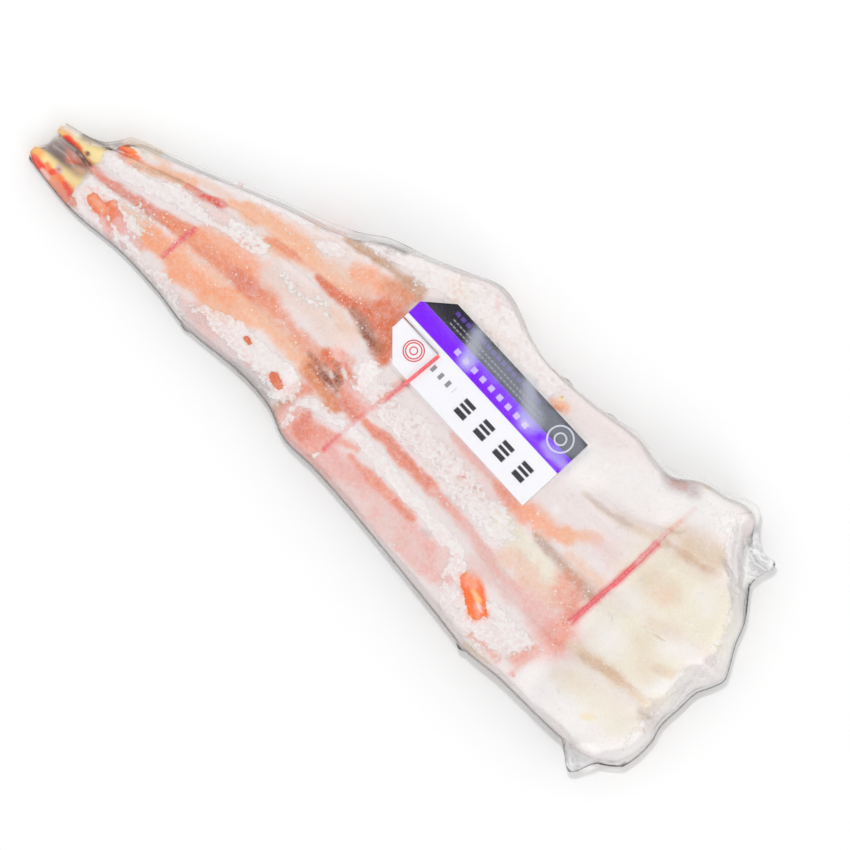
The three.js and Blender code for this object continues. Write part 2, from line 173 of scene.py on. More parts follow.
valley_34 = through([
    (-235, -0.4), (-222, 3.2), (-212, 11), (-200, 18), (-180, 23.8), (-150, 33.2), (-120, 43),
    (-100, 47.5), (-60, 56), (-25, 59.5), (0, 60), (30, 57), (60, 50), (100, 37), (140, 35.5),
    (165, 42), (200, 51), (240, 46)])
film_strip = through([
    (-212, 3.2), (-120, 3.6), (-80, 4.6), (-55, 3), (-30, 0.8), (120, 0.6), (150, 2.4), (175, 0.8),
    (200, 4)])
low_fin = through([(201, 0), (208, 5.4), (213, 10), (216.5, 11.8), (220, 9.4), (223, 3), (225.5, 0)])
shoulder_end = through([
    (-80, 230), (-66, 239.5), (-50, 241.5), (-38, 239.5), (-24, 241), (-11, 242.5), (-3, 247),
    (5, LENGTH / 2), (13, 247), (24, 241.5), (38, 236.5), (48, 229), (54, 225), (62, 226),
    (70, 228.8), (75, 226.5)])

TIP_OPENING = 5               # how far each of the first two tips stands off the line between them
TIP_OPENS = (210, 232)        # distances left of the middle over which it opens
HIGH_CORNER = 72              # place of the high corner's fin, and its half width
CORNER_REACH = 30
STAND_OFF = 2.5               # how far the film runs on beyond the shoulder meat

# Swellings of an edge: places along it, half lengths and heights.
LOW_PUCKERS = [(123, 5, 1.6), (-115, 6, 0.9)]
HIGH_PUCKERS = [(102, 5, 1), (117, 6, 1.2), (70, 6, 1.4)]
TIP_BULGES = [(-25.7, 10, 6), (-5.5, 7, 2)]
WIDE_STAND_OFF = [(-8, 28, 5), (HIGH_CORNER, 24, 19)]


def puckers(x, places):
    return sum(height * bump(x, at, half) for at, half, height in places)


def low_rim(x):
    return low_side(x) - low_fin(x) - puckers(x, LOW_PUCKERS)


def high_rim(x):
    return high_side(x) + puckers(x, HIGH_PUCKERS)


def tips_end(y):
    return LEFT - puckers(y, TIP_BULGES)


def tip_opening(x):
    return TIP_OPENING * smoothstep(-x, *TIP_OPENS)


def clear_of_corner(y):
    """0 in the middle of the high corner, where the film stands off as a wide fin."""
    return 1 - bump(y, HIGH_CORNER, CORNER_REACH)


def meat_end(y):
    """Where the shoulder meat ends, short of the end of the film."""
    return shoulder_end(y) - (STAND_OFF + puckers(y, WIDE_STAND_OFF))


def ice_rim(x):
    """The high side of the ice. Beyond it lies an empty strip of film."""
    return high_side(x) - film_strip(x)


# ---------------------------------------------------------------- heights

OVERLAP = 1.25                # how much wider than its lane a limb is, on a side with a neighbour
JOINT_DIP = 2.4               # how far a crest drops at its joint, and over what half length
JOINT_REACH = 12
CREASE_DEPTH = 1.6            # the same before the shoulder, where all the limbs meet it
SHOULDER_CREASE = (171, 14)
END_ROUNDING = (28, 18)       # length of the rounding at the far end: at its high corner, and elsewhere
LIMB_BLEND = (10, 40)         # rounding of the valleys between the legs and in the shoulder
SHOULDER_BLENDS = (150, 195)  # where it changes from one to the other
UNDER_BLEND = 3               # rounding of the valleys underneath
UNDERSIDE = 1.35              # depth of a limb below its widest level, as a share of that level
FULL_RELIEF = 12              # height above the rims from which the relief shows in full

# Powers that round off a limb: across it, at its tip, at its far end and in its height.
ACROSS_POWER = 2.5
TIP_POWER = 2.2
END_POWER = 2.4
HEIGHT_POWER = 0.45

# A spine on the claw arm and a knuckle of the first leg: place, half width and height.
MOUNDS = [((73, 63), 6, 2.6), ((190, -58), 26, 2)]

mid_level = through([(-250, 5), (-205, 8), (-100, 11.5), (0, 14.5), (100, 16.5), (190, 18), (250, 13)])


def rounded(left):
    """Height of a rounded form, from what is left of 1 after its roundings are taken off."""
    return np.maximum(left, 0) ** HEIGHT_POWER


def mound(x, y, middle, half_width):
    return bump(np.hypot(x - middle[0], y - middle[1]), 0, half_width)


class Limb:
    """A limb lies between two sides, and has its own crest height, rounded tip and joint."""

    def __init__(self, low, high, tip, tip_length, joint, crest, outer_low=False, outer_high=False):
        self.low, self.high = low, high
        self.tip, self.tip_length, self.joint = tip, tip_length, joint
        self.crest = through(crest)
        self.low_share = 1 if outer_low else OVERLAP
        self.high_share = 1 if outer_high else OVERLAP

    def tip_rounding(self, x):
        return clip01(1 - (x - self.tip) / self.tip_length) ** TIP_POWER

    def fullness(self, x, y):
        """1 on its crest, 0 at its sides and its tip."""
        low, high = self.low(x), self.high(x)
        middle = (low + high) / 2
        low_reach = np.maximum(middle - low, 0.01) * self.low_share
        high_reach = np.maximum(high - middle, 0.01) * self.high_share
        across = np.where(y < middle, (middle - y) / low_reach, (y - middle) / high_reach)
        rounding = lerp(*END_ROUNDING, clear_of_corner(y))
        near_end = clip01(1 - (meat_end(y) - x) / rounding)
        return rounded(1 - np.abs(across) ** ACROSS_POWER - self.tip_rounding(x) - near_end**END_POWER)

    def joint_dip(self, x):
        return JOINT_DIP * bump(x, self.joint, JOINT_REACH)

    def rise(self, x, y):
        crease = CREASE_DEPTH * bump(x, *SHOULDER_CREASE)
        return (self.crest(x) - mid_level(x) - self.joint_dip(x) - crease) * self.fullness(x, y)

    def drop(self, x, y):
        return UNDERSIDE * mid_level(x) * self.fullness(x, y)


LIMBS = {
    "leg_1": Limb(
        low_side, lambda x: valley_12(x) - tip_opening(x), -249.6, 11, -43,
        [(-250, 11), (-235, 14), (-214, 17.5), (-200, 20), (-150, 25), (-100, 27.5), (-60, 28),
         (-25, 31), (0, 33), (50, 36), (100, 37.5), (150, 38.5), (200, 39), (240, 34)],
        outer_low=True),
    "leg_2": Limb(
        lambda x: valley_12(x) + tip_opening(x), valley_23, -245.8, 10, -33,
        [(-245, 10.5), (-232, 13), (-214, 16.5), (-200, 19.5), (-150, 25), (-100, 29), (-60, 31),
         (-10, 34), (50, 38), (100, 41), (150, 43.5), (200, 45), (240, 40)]),
    "leg_3": Limb(
        valley_23, valley_34, -212.5, 12, -27,
        [(-212, 12), (-200, 15), (-150, 22), (-100, 27.5), (-60, 32), (0, 37), (50, 41), (100, 44),
         (150, 47.5), (190, 49.5), (240, 42)]),
    "claw_arm": Limb(
        valley_34, ice_rim, -108, 40, -6,
        [(-108, 14), (-80, 22), (-50, 29), (-20, 34), (5, 36.5), (50, 36), (100, 38.5), (150, 42),
         (190, 43), (215, 36)],
        outer_high=True),
}


def relief(x, y):
    """Uneven ice, a spine and a knuckle above the plain limbs."""
    ripples = 0.55 * np.sin(x / 9 + y / 17) * np.sin(y / 8 - x / 31)
    swells = 0.4 * np.sin(x / 21 - y / 6)
    mounds = (height * mound(x, y, middle, half) for middle, half, height in MOUNDS)
    return sum(mounds, ripples + swells)


def rise_above(x, y):
    rounding = lerp(*LIMB_BLEND, smoothstep(x, *SHOULDER_BLENDS))
    rise = 0
    for limb in LIMBS.values():
        rise = smooth_max(rise, limb.rise(x, y), rounding)
    return rise + relief(x, y) * clip01(rise / FULL_RELIEF)


def drop_below(x, y):
    drop = 0
    for limb in LIMBS.values():
        drop = smooth_max(drop, limb.drop(x, y), UNDER_BLEND)
    return drop


# ---------------------------------------------------------------- the tag's surface

tag_crest = through([(-124, 35.8), (-90, 37.8), (-50, 40.8), (0, 44.4)])
tag_tilt = through([(-124, 0.08), (0, -0.06)])


def tag_half_width(along):
    return lerp(TAG_NOSE, TAG_WIDTH, clip01((along + TAG_LENGTH) / TAG_CHAMFER)) / 2


def to_tag(x, y):
    """Distance along the tag, from -length at its nose to 0, and across it."""
    dx, dy = x - TAG_END[0], y - TAG_END[1]
    along = dx * np.cos(TAG_TURN) + dy * np.sin(TAG_TURN)
    return along, dy * np.cos(TAG_TURN) - dx * np.sin(TAG_TURN)


def from_tag(along, across):
    x = TAG_END[0] + along * np.cos(TAG_TURN) - across * np.sin(TAG_TURN)
    return x, TAG_END[1] + along * np.sin(TAG_TURN) + across * np.cos(TAG_TURN)


def tag_underside(along, across):
    return tag_crest(along) + tag_tilt(along) * across - TAG_ARCH * across**2


def beyond_tag(along, across):
    """How far outside the tag's outline a point is, negative inside."""
    return np.maximum(np.maximum(np.abs(across) - tag_half_width(along), along), -TAG_LENGTH - along)


def tag_cover(x, y):
    """1 under the tag, fading to 0 where the film has come down off its edge."""
    return 1 - smoothstep(beyond_tag(*to_tag(x, y)), TAG_SHELF, TAG_SHELF + TAG_SKIRT)


def top_level(x, y):
    plain = mid_level(x) + np.maximum(rise_above(x, y), FILM / 2)
    return lerp(plain, tag_underside(*to_tag(x, y)) - TAG_BED, tag_cover(x, y))


def bottom_level(x, y):
    return np.maximum(mid_level(x) - np.maximum(drop_below(x, y), FILM / 2), 0)


# ---------------------------------------------------------------- stations and lines

CLOSED_LANES = 1.2            # the high lanes close up where they are narrower than this
END_SPREAD = (45, 92)         # lengths over which the stations spread out to the waved ends

# How far inside the film's low side, high side and far end the ice stays.
ICE_INSIDE_LOW = 1.3
ICE_INSIDE_HIGH = 0.9
ICE_INSIDE_END = 1.8
ICE_HOLLOWS = [(228, 12, 2)]  # where it stays further inside the low side
HIGH_LANES_LEAST = 0.5        # least width of the ice's two high lanes together

# The smoothing of the shoulder's creases: its steps, its share at each of them, and the distances
# past the last band, in from the rims and in from the end over which it grows to that share.
EASING_STEPS = 90
EASING_SHARE = 0.5
EASED_PAST_BAND = (3, 14)
EASED_FROM_RIM = (6, 20)
EASED_FROM_END = (12, 28)

# The bridging of the step at the shoulder's end: its steps, and the distances in from the end over
# which it grows.
BRIDGE_STEPS = 60
BRIDGED_FROM_END = (40, 25)

station_lean = through([(LEFT, 0), *BANDS.values(), (RIGHT, 0)])


def film_lines(x):
    high = high_rim(x)
    second, third = valley_23(x), valley_34(x)
    closed = high - second < CLOSED_LANES
    return [low_rim(x), valley_12(x), np.where(closed, high, second), np.where(closed, high, third), high]


def ice_lines(x):
    low = low_side(x) + ICE_INSIDE_LOW + puckers(x, ICE_HOLLOWS)
    high = ice_rim(x) - ICE_INSIDE_HIGH
    second = np.minimum(valley_23(x), high - HIGH_LANES_LEAST)
    third = np.minimum(valley_34(x), high)
    return [low, valley_12(x), second, third, high]


def line_level(lines, x, position):
    """Where a line lies: 0 is the low rim, 1 to 3 are the valleys and 4 is the high rim."""
    levels = np.stack([np.broadcast_to(level, np.shape(x)) for level in lines(x)])
    lane = np.clip(np.floor(position).astype(int), 0, 3) + np.zeros(np.shape(x), int)
    low = np.take_along_axis(levels, lane[None], 0)[0]
    high = np.take_along_axis(levels, lane[None] + 1, 0)[0]
    return lerp(low, high, position - lane)


def plan(lines, stations, positions, left_end=tips_end, right_end=shoulder_end):
    """The plan x and y where every station crosses every line."""
    station, position = np.meshgrid(stations, positions, indexing="ij")
    y = line_level(lines, station, position)
    left, right = stations[0], stations[-1]
    left_shift = (left_end(y) - left) * (1 - smoothstep(station, left, left + END_SPREAD[0]))
    right_shift = (right_end(y) - right) * smoothstep(station, right - END_SPREAD[1], right)
    x = station + station_lean(station) * y + left_shift + right_shift
    return x, line_level(lines, x, position)


def band_distance(name, x, y):
    at, lean = BANDS[name]
    return x - at - lean * y


def ice_end(y):
    """The ice fills the film to its end, but for the fin at the high corner."""
    return shoulder_end(y) - ICE_INSIDE_END - puckers(y, WIDE_STAND_OFF[1:])


def pack_top(x, y):
    """Heights over a grid, with the shoulder's creases smoothed out and the step at its end bridged."""
    top = top_level(x, y)
    from_rim = np.minimum(y - low_side(x), ice_rim(x) - y)
    share = EASING_SHARE * smoothstep(band_distance("band_3", x, y), *EASED_PAST_BAND)
    share *= smoothstep(from_rim, *EASED_FROM_RIM)
    share *= smoothstep(ice_end(y) - x, *EASED_FROM_END)
    for _ in range(EASING_STEPS):
        beside = (top[:, :-2] + top[:, 2:]) / 2
        top[:, 1:-1] += share[:, 1:-1] * (beside - top[:, 1:-1])
    bridge = smoothstep(shoulder_end(y) - x, *BRIDGED_FROM_END)
    for _ in range(BRIDGE_STEPS):
        beside = (top[:-2] + top[2:]) / 2
        top[1:-1] += bridge[1:-1] * np.maximum(beside - top[1:-1], 0)
    return top


def lane_positions(steps):
    """Line positions across the four lanes, a little closer together at the lanes' sides."""
    places = []
    for lane, count in enumerate(steps):
        t = np.arange(count) / count
        places.append(lane + lerp(t, 0.5 - 0.5 * np.cos(np.pi * t), 0.5))
    return np.concatenate(places + [[len(steps)]])


# ---------------------------------------------------------------- mesh making

UNDER_SKIP = 4                # a shell's underside uses every fourth line of its top


def mesh_object(name, points, faces, attributes=None):
    """A mesh piece from points in millimetres, with its point attributes."""
    mesh = bpy.data.meshes.new(name)
    mesh.from_pydata((np.asarray(points) * MM).tolist(), [], faces)
    for key, values in (attributes or {}).items():
        values = np.asarray(values, np.float32)
        kind, field = ("FLOAT_COLOR", "color") if values.ndim == 2 else ("FLOAT", "value")
        layer = mesh.attributes.new(key, kind, "POINT")
        if values.ndim == 2:
            values = np.column_stack([values, np.ones(len(values), np.float32)])
        layer.data.foreach_set(field, values.ravel())
    mesh.validate()
    mesh.polygons.foreach_set("use_smooth", [True] * len(mesh.polygons))
    mesh.update()
    piece = bpy.data.objects.new(name, mesh)
    bpy.context.scene.collection.objects.link(piece)
    return piece


def grid_faces(index, flipped=False):
    """Four-sided faces over a grid of vertex numbers."""
    a, b, c, d = index[:-1, :-1], index[1:, :-1], index[1:, 1:], index[:-1, 1:]
    corners = [d, c, b, a] if flipped else [a, b, c, d]
    return np.stack(corners, -1).reshape(-1, 4).tolist()


def closed_shell(name, x, y, top, bottom, attributes):
    """A shell from a fine top and a coarser underside. Each attribute is a pair of grids, one for each."""
    rows, columns = x.shape
    under_columns = np.arange(UNDER_SKIP, columns - 1, UNDER_SKIP)
    over = np.arange(rows * columns).reshape(rows, columns)
    under = rows * columns + np.arange(rows * len(under_columns)).reshape(rows, -1)
    ring_under = np.column_stack([over[:, 0], under, over[:, -1]])
    points = np.concatenate([
        np.stack([x, y, top], -1).reshape(-1, 3),
        np.stack([x, y, bottom], -1)[:, under_columns].reshape(-1, 3)])
    faces = grid_faces(over) + grid_faces(ring_under, flipped=True)
    for row, far in ((0, False), (rows - 1, True)):
        for k in range(ring_under.shape[1] - 1):
            rim = over[row, k * UNDER_SKIP:(k + 1) * UNDER_SKIP + 1]
            ends = [v for v in (ring_under[row, k + 1], ring_under[row, k]) if v not in (rim[0], rim[-1])]
            loop = list(rim) + ends
            faces.append([int(v) for v in (loop if far else loop[::-1])])
    values = {}
    for key, (above, below) in attributes.items():
        tail = above.shape[2:]
        values[key] = np.concatenate([
            above.reshape(-1, *tail), below[:, under_columns].reshape(-1, *tail)])
    return mesh_object(name, points, faces, values)


def ring_tube(name, rings, attributes, closed=False):
    """A tube skinned over rings of equal length, closed into a loop or capped at both ends."""
    rings = np.asarray(rings)
    count, size = rings.shape[:2]
    index = np.arange(count * size).reshape(count, size)
    index = np.column_stack([index, index[:, 0]])
    if closed:
        index = np.vstack([index, index[:1]])
    faces = grid_faces(index)
    if not closed:
        faces += [index[0, :-1][::-1].tolist(), index[-1, :-1].tolist()]
    return mesh_object(name, rings.reshape(-1, 3), faces, attributes)


# ---------------------------------------------------------------- colours and brush strokes

LIGHT = 1.12                  # light that an upward face sends back at albedo 1
PALEST = 0.92                 # the highest albedo


def colour(red, green, blue):
    """The albedo that looks like this 0 to 255 screen colour under the studio light."""
    c = np.array([red, green, blue]) / 255
    linear = np.where(c < 0.04045, c / 12.92, ((c + 0.055) / 1.055) ** 2.4)
    return np.minimum(linear / LIGHT, PALEST)


PALETTE = {
    "white": colour(244, 241, 240),
    "frost": colour(240, 230, 229),
    # painted shade for a darker patch low on the first leg's flank
    "flank shade grey": colour(208, 199, 200),
    "mauve frost": colour(222, 203, 202),
    "pink frost": colour(238, 212, 208),
    "peach": colour(249, 176, 136),
    "light peach": colour(246, 194, 162),
    "pale peach": colour(240, 206, 186),
    "orange": colour(239, 152, 112),
    "knee orange": colour(228, 144, 92),
    "deep orange": colour(228, 122, 76),
    "vivid orange": colour(255, 124, 50),
    "red orange": colour(244, 48, 6),
    "red": colour(228, 66, 52),
    "rose": colour(230, 140, 116),
    "pink": colour(240, 190, 183),
    "salmon": colour(240, 158, 134),
    "cream": colour(241, 234, 218),
    "pink cream": colour(240, 219, 211),
    "yellow cream": colour(249, 226, 162),
    "amber": colour(243, 176, 84),
    "beige": colour(229, 209, 186),
    "tan": colour(206, 166, 136),
    "brown": colour(194, 120, 88),
    "dark brown": colour(140, 78, 54),
    "grey": colour(204, 190, 192),
    "band": colour(238, 100, 104),
    "film grey": colour(204, 203, 206),
    # painted shade: grey-brown where shadow shows through clear film
    "painted shade brown": colour(146, 132, 128),
    "window": colour(243, 130, 82),
    "film white": colour(246, 245, 244),
    # painted glare: a pale bluish tint on the film over the card
    "painted glare blue": colour(206, 214, 238),
    # painted shadow: dark grey laid along the film's low rim and far end
    "painted rim shadow grey": colour(66, 62, 64),
}


def path_distance(path, x, y):
    """Distance to a line through the path's points, and how far along it the nearest point is."""
    best = np.full(np.shape(x), np.inf)
    share = np.zeros(np.shape(x))
    steps = max(len(path) - 1, 1)
    for k in range(steps):
        (ax, ay), (bx, by) = path[k], path[min(k + 1, len(path) - 1)]
        dx, dy = bx - ax, by - ay
        t = clip01(((x - ax) * dx + (y - ay) * dy) / max(dx * dx + dy * dy, 1e-9))
        distance = np.hypot(x - ax - t * dx, y - ay - t * dy)
        nearer = distance < best
        best = np.where(nearer, distance, best)
        share = np.where(nearer, (k + t) / steps, share)
    return best, share


def coverage(stroke, x, y):
    """How strongly a stroke paints each point, from 0 to its strength."""
    _, path, width, strength, softness, ragged = stroke
    start, end = width if isinstance(width, tuple) else (width, width)
    distance, share = path_distance(path, x, y)
    half = lerp(start, end, share)
    wander = coarse_noise(x, y, 9) + 0.6 * fine_noise(x, y, 3.5) + 0.35 * fine_noise(y, x, 2)
    edge = distance + ragged * wander
    return strength * (1 - smoothstep(edge, half * (1 - softness), half * (1 + softness)))


def paint(tone, strokes, x, y):
    """The base tone, or tones, with the strokes laid over it in turn."""
    for stroke in strokes:
        tone = lerp(tone, PALETTE[stroke[0]], coverage(stroke, x, y)[..., None])
    return tone


def level_of(start, strokes, x, y):
    """A single value with strokes laid over it in turn. A stroke's first entry is the value."""
    level = np.full(np.shape(x), float(start))
    for stroke in strokes:
        level = lerp(level, stroke[0], coverage(stroke, x, y))
    return level


# Each stroke: colour, path, half width (or at its start and end), strength, softness, raggedness.
ICE_TONES = [
    # first leg, from its tip to the joint
    ("window", [(-204, -23), (-197, -25), (-190, -22), (-184, -24)], (6, 7), 1, 0.2, 0.5),
    ("peach", [(-203, -23), (-194, -25)], 2.2, 0.9, 0.7, 1),
    ("red", [(-187, -20), (-184, -25)], 1.2, 0.5, 0.8, 1),
    ("pink", [(-192, -31), (-180, -34)], 3.5, 0.8, 0.6, 1.5),
    ("red", [(-187, -30), (-183, -33)], 0.8, 0.6, 0.8, 1),
    ("red", [(-176, -32.5), (-169, -33)], 1, 0.7, 0.6, 0.5),
    ("rose", [(-214, -31), (-206, -34)], 2.6, 0.9, 0.6, 1),
    ("mauve frost", [(-176, -33), (-130, -37), (-95, -38), (-58, -42)], (3, 7), 0.8, 0.6, 2),
    ("pink", [(-128, -33), (-100, -36)], 3, 0.6, 0.8, 2),
    # painted shade low on the first leg's flank
    ("flank shade grey", [(-78, -43), (-52, -43)], 4, 0.9, 0.7, 1),
    ("pale peach", [(-186, -15), (-165, -17)], 5, 0.8, 0.7, 2),
    ("pink", [(-182, -25), (-164, -25)], 3.4, 0.9, 0.7, 1.5),
    ("peach", [(-166, -18), (-140, -21), (-115, -20), (-98, -16)], (6, 10), 1, 0.5, 2.5),
    ("light peach", [(-98, -12), (-75, -13), (-52, -15)], (7, 5), 0.95, 0.6, 2),
    ("light peach", [(-112, -24), (-98, -23)], 4, 0.9, 0.6, 1.5),
    ("tan", [(-44, -36), (-43, -50)], 4, 1, 0.6, 1),
    ("deep orange", [(-43, -40), (-40, -46)], 1.8, 0.6, 0.8, 1),
    ("salmon", [(-44, -30), (-38, -24)], 4.5, 0.9, 0.6, 1.5),
    ("deep orange", [(-84, -26.5), (-81, -27)], 2.6, 1, 0.3, 0.3),
    ("deep orange", [(-58, -33), (-52, -34.5)], 4, 1, 0.3, 0.3),
    ("pink", [(-80, -33), (-74, -35)], 1.6, 0.8, 0.6, 1),
    # second leg, low flank and crest
    ("rose", [(-230, -12), (-200, -11), (-183, -8.5), (-165, -6), (-150, -3)], (2.2, 4), 0.9, 0.5, 0.8),
    ("orange", [(-165, -4), (-140, -3), (-112, 0), (-92, 0)], (4, 9), 0.95, 0.5, 1.5),
    ("peach", [(-140, 3), (-122, 7), (-104, 8)], 6, 0.8, 0.6, 2),
    ("light peach", [(-150, -12), (-118, -13)], 3.5, 0.6, 0.8, 2),
    ("rose", [(-112, -3), (-93, -2)], 4, 0.85, 0.7, 1.5),
    ("pale peach", [(-92, -8), (-70, -10)], 2, 0.6, 0.8, 1),
    ("orange", [(-94, -2), (-70, -5), (-45, -7)], 4, 0.75, 0.7, 1.5),
    ("pink cream", [(-98, 10), (-70, 12), (-42, 12)], (7, 9), 0.95, 0.6, 2),
    ("deep orange", [(-43, -4), (-34, -6), (-25, -8)], (3, 6), 1, 0.6, 1.5),
    ("knee orange", [(-46, -16), (-34, -20), (-22, -22)], 5, 0.95, 0.6, 1.5),
    ("brown", [(-40, -9), (-32, -12), (-25, -14)], (2, 4), 0.6, 0.8, 1.5),
    ("brown", [(-52, -9), (-41, -11), (-31, -15)], 0.9, 0.9, 0.6, 1),
    ("brown", [(-46, -14), (-36, -16), (-27, -19)], 0.9, 0.85, 0.6, 1),
    ("brown", [(-38, -3), (-30, -7), (-23, -12)], 1.2, 0.85, 0.7, 1),
    ("dark brown", [(-42, -12), (-34, -14), (-26, -15)], 0.9, 0.7, 0.6, 1),
    ("dark brown", [(-33, -9), (-27, -12)], 1, 0.6, 0.7, 0.8),
    ("white", [(-31, -4), (-27, -6)], 0.7, 0.8, 0.6, 0.8),
    ("white", [(-36, -9), (-33, -11)], 0.6, 0.7, 0.6, 0.8),
    ("salmon", [(-20, -13), (-9, -16)], 5, 1, 0.5, 1.5),
    ("rose", [(-20, -18), (-10, -20)], 3, 0.8, 0.7, 1.5),
    ("pink", [(-20, -8), (-6, -9)], 4.5, 0.9, 0.7, 1.5),
    ("salmon", [(-38, 1), (-30, 3)], 3.4, 0.7, 0.7, 1.5),
    # third leg
    ("cream", [(-206, 15), (-194, 16)], 3, 0.8, 0.7, 1),
    ("deep orange", [(-207, 7), (-196, 8)], 3.4, 0.9, 0.6, 0.8),
    ("vivid orange", [(-206, 9), (-199, 10)], 2.2, 1, 0.5, 0.8),
    ("pale peach", [(-196, 19), (-184, 20)], 2.4, 0.8, 0.7, 1),
    ("light peach", [(-200, 6.5), (-189, 10.5), (-178, 15), (-166, 20)], (2.8, 4), 0.95, 0.6, 1),
    ("tan", [(-198, 6.5), (-184, 11.5), (-172, 16.5)], 1.5, 0.75, 0.8, 1),
    ("pink frost", [(-158, 15), (-138, 17)], 4, 0.8, 0.8, 2),
    ("rose", [(-166, 17), (-155, 19), (-147, 22)], 1.8, 0.9, 0.6, 0.8),
    ("red", [(-157, 19), (-150, 21), (-143, 23)], (0.8, 1.8), 0.75, 0.7, 1),
    ("pale peach", [(-160, 25), (-146, 27)], 3, 0.6, 0.7, 1),
    ("light peach", [(-140, 27), (-118, 32), (-92, 35)], (4, 8), 1, 0.5, 2),
    ("orange", [(-66, 32), (-46, 33)], (4, 6), 0.9, 0.7, 2),
    ("light peach", [(-112, 22), (-84, 31), (-60, 33)], 5, 0.9, 0.7, 2),
    ("pale peach", [(-72, 38), (-54, 40)], (4, 7), 0.8, 0.7, 2),
    ("peach", [(-60, 44), (-46, 46)], (5, 8), 0.9, 0.8, 2),
    ("deep orange", [(-44, 32), (-36, 38), (-24, 38)], (4, 8), 0.9, 0.8, 2),
    ("knee orange", [(-42, 50), (-28, 54)], 6, 0.9, 0.7, 2),
    ("orange", [(-112, 24), (-92, 27)], 2, 0.8, 0.7, 1),
    ("deep orange", [(-76, 26), (-58, 26), (-40, 30)], (1.8, 4), 0.95, 0.6, 1),
    ("deep orange", [(-30, 32), (-22, 22), (-18, 15)], (7, 4), 1, 0.6, 1),
    ("deep orange", [(-46, 30), (-30, 27)], 3, 0.9, 0.7, 1),
    ("brown", [(-48, 25), (-36, 22.5), (-24, 17)], (3, 4.5), 1, 0.6, 1),
    ("dark brown", [(-40, 22), (-28, 18)], 2.2, 0.7, 0.8, 1),
    ("pale peach", [(-55, 18), (-42, 16)], 4, 0.6, 0.8, 2),
    ("tan", [(-78, 54), (-55, 57), (-27, 59)], (2, 3.6), 0.9, 0.7, 1),
    # painted shade: dark grey-brown under the film strip at the high rim
    ("painted shade brown", [(-76, 60), (-62, 65), (-50, 69)], 3, 0.75, 0.7, 1),
    ("pink cream", [(-90, 42), (-76, 45)], 5, 0.9, 0.6, 2),
    ("beige", [(-95, 47)], 2.4, 0.6, 0.7, 0.8),
    # second leg beyond its joint
    ("pink frost", [(-10, -4), (30, -6), (95, -2)], (5, 11), 0.7, 0.7, 3),
    ("rose", [(60, -5), (72, -6)], 2.5, 0.6, 0.8, 1.5),
    ("salmon", [(-2, -18), (12, -18.5), (30, -20), (52, -21.5)], (2.6, 4.6), 1, 0.45, 1.2),
    ("rose", [(8, -17), (48, -19.5)], 2.2, 0.8, 0.8, 1.2),
    ("pink", [(52, -22), (76, -24), (102, -30)], (2.5, 4), 0.9, 0.6, 1),
    ("salmon", [(56, -22), (74, -24)], 1.4, 0.6, 0.8, 1),
    ("cream", [(92, -10), (120, -14), (150, -18)], (6, 8), 0.9, 0.6, 2),
    ("pink", [(40, 9), (72, 5)], (2, 4), 0.9, 0.7, 1.5),
    ("salmon", [(76, 4), (100, 2)], (3, 5), 0.95, 0.7, 1.5),
    ("peach", [(98, 4), (116, 4), (128, 8)], (5, 4), 0.85, 0.9, 2),
    ("white", [(112, 16)], 2.5, 0.9, 0.5, 1),
    ("light peach", [(126, 8), (140, 19)], 3.4, 0.8, 0.9, 1.5),
    ("tan", [(112, -3), (132, -5), (158, -8)], (1.2, 4), 0.85, 0.9, 1),
    ("pale peach", [(136, 1), (158, 0)], 4, 0.9, 0.7, 1.5),
    ("grey", [(116, -4), (132, -5)], 1.4, 0.5, 0.9, 1),
    ("pink", [(108, -34), (134, -32), (162, -40)], (4, 11), 0.9, 0.7, 3),
    ("pale peach", [(110, -24), (140, -24)], 6, 0.8, 0.8, 3),
    ("salmon", [(142, -12), (156, -24), (162, -38)], (6, 7), 0.7, 0.8, 2),
    ("rose", [(150, -8), (160, -28)], 2.4, 0.5, 0.9, 2),
    # first leg beyond its joint
    ("pink", [(-33, -47), (0, -48), (40, -50), (86, -52)], (11, 9), 1, 0.4, 2),
    ("salmon", [(-30, -46), (-16, -46)], (7, 5), 0.6, 0.8, 2),
    ("pink frost", [(22, -50), (36, -46), (70, -54)], (3, 4), 0.6, 0.9, 2),
    ("rose", [(-30, -36), (-26, -46)], (3, 5), 0.85, 0.5, 1),
    ("salmon", [(-22, -40), (-10, -36), (4, -33)], (4, 3), 0.8, 0.6, 1),
    ("salmon", [(4, -38), (30, -40), (54, -41)], (2.4, 3), 0.9, 0.7, 1),
    ("rose", [(40, -41), (55, -42)], 1.6, 0.6, 0.6, 0.8),
    ("pink frost", [(10, -56), (30, -55)], 4.5, 0.9, 0.6, 1.5),
    ("pink frost", [(42, -55), (50, -57)], 4, 0.8, 0.6, 1.5),
    ("vivid orange", [(102, -47), (117, -58)], 7, 1, 0.2, 0.5),
    # painted highlights on the wet window: the peach, light peach and white dabs
    ("peach", [(99, -45), (105, -47)], 2.4, 0.7, 0.6, 0.8),
    ("light peach", [(114, -55), (120, -60)], 1.6, 0.5, 0.8, 0.8),
    ("yellow cream", [(107, -50), (113, -52)], 1.3, 0.7, 0.7, 0.6),
    ("white", [(114, -54), (118, -56)], 0.8, 0.8, 0.5, 0.3),
    ("grey", [(63, -43), (67, -42)], 2.2, 0.5, 0.6, 0.6),
    ("pink frost", [(80, -44), (88, -50)], 5, 0.8, 0.7, 2),
    ("pink frost", [(96, -38), (124, -40)], 4, 0.9, 0.7, 2),
    ("salmon", [(122, -70), (132, -69), (142, -71)], 2.4, 0.7, 0.9, 1.2),
    ("salmon", [(150, -63), (155, -55)], 3.6, 0.8, 0.9, 1),
    ("beige", [(124, -76), (140, -75)], 2, 0.8, 0.8, 1),
    ("red", [(155, -71)], 1.4, 0.9, 0.5, 0.4),
    # claw arm
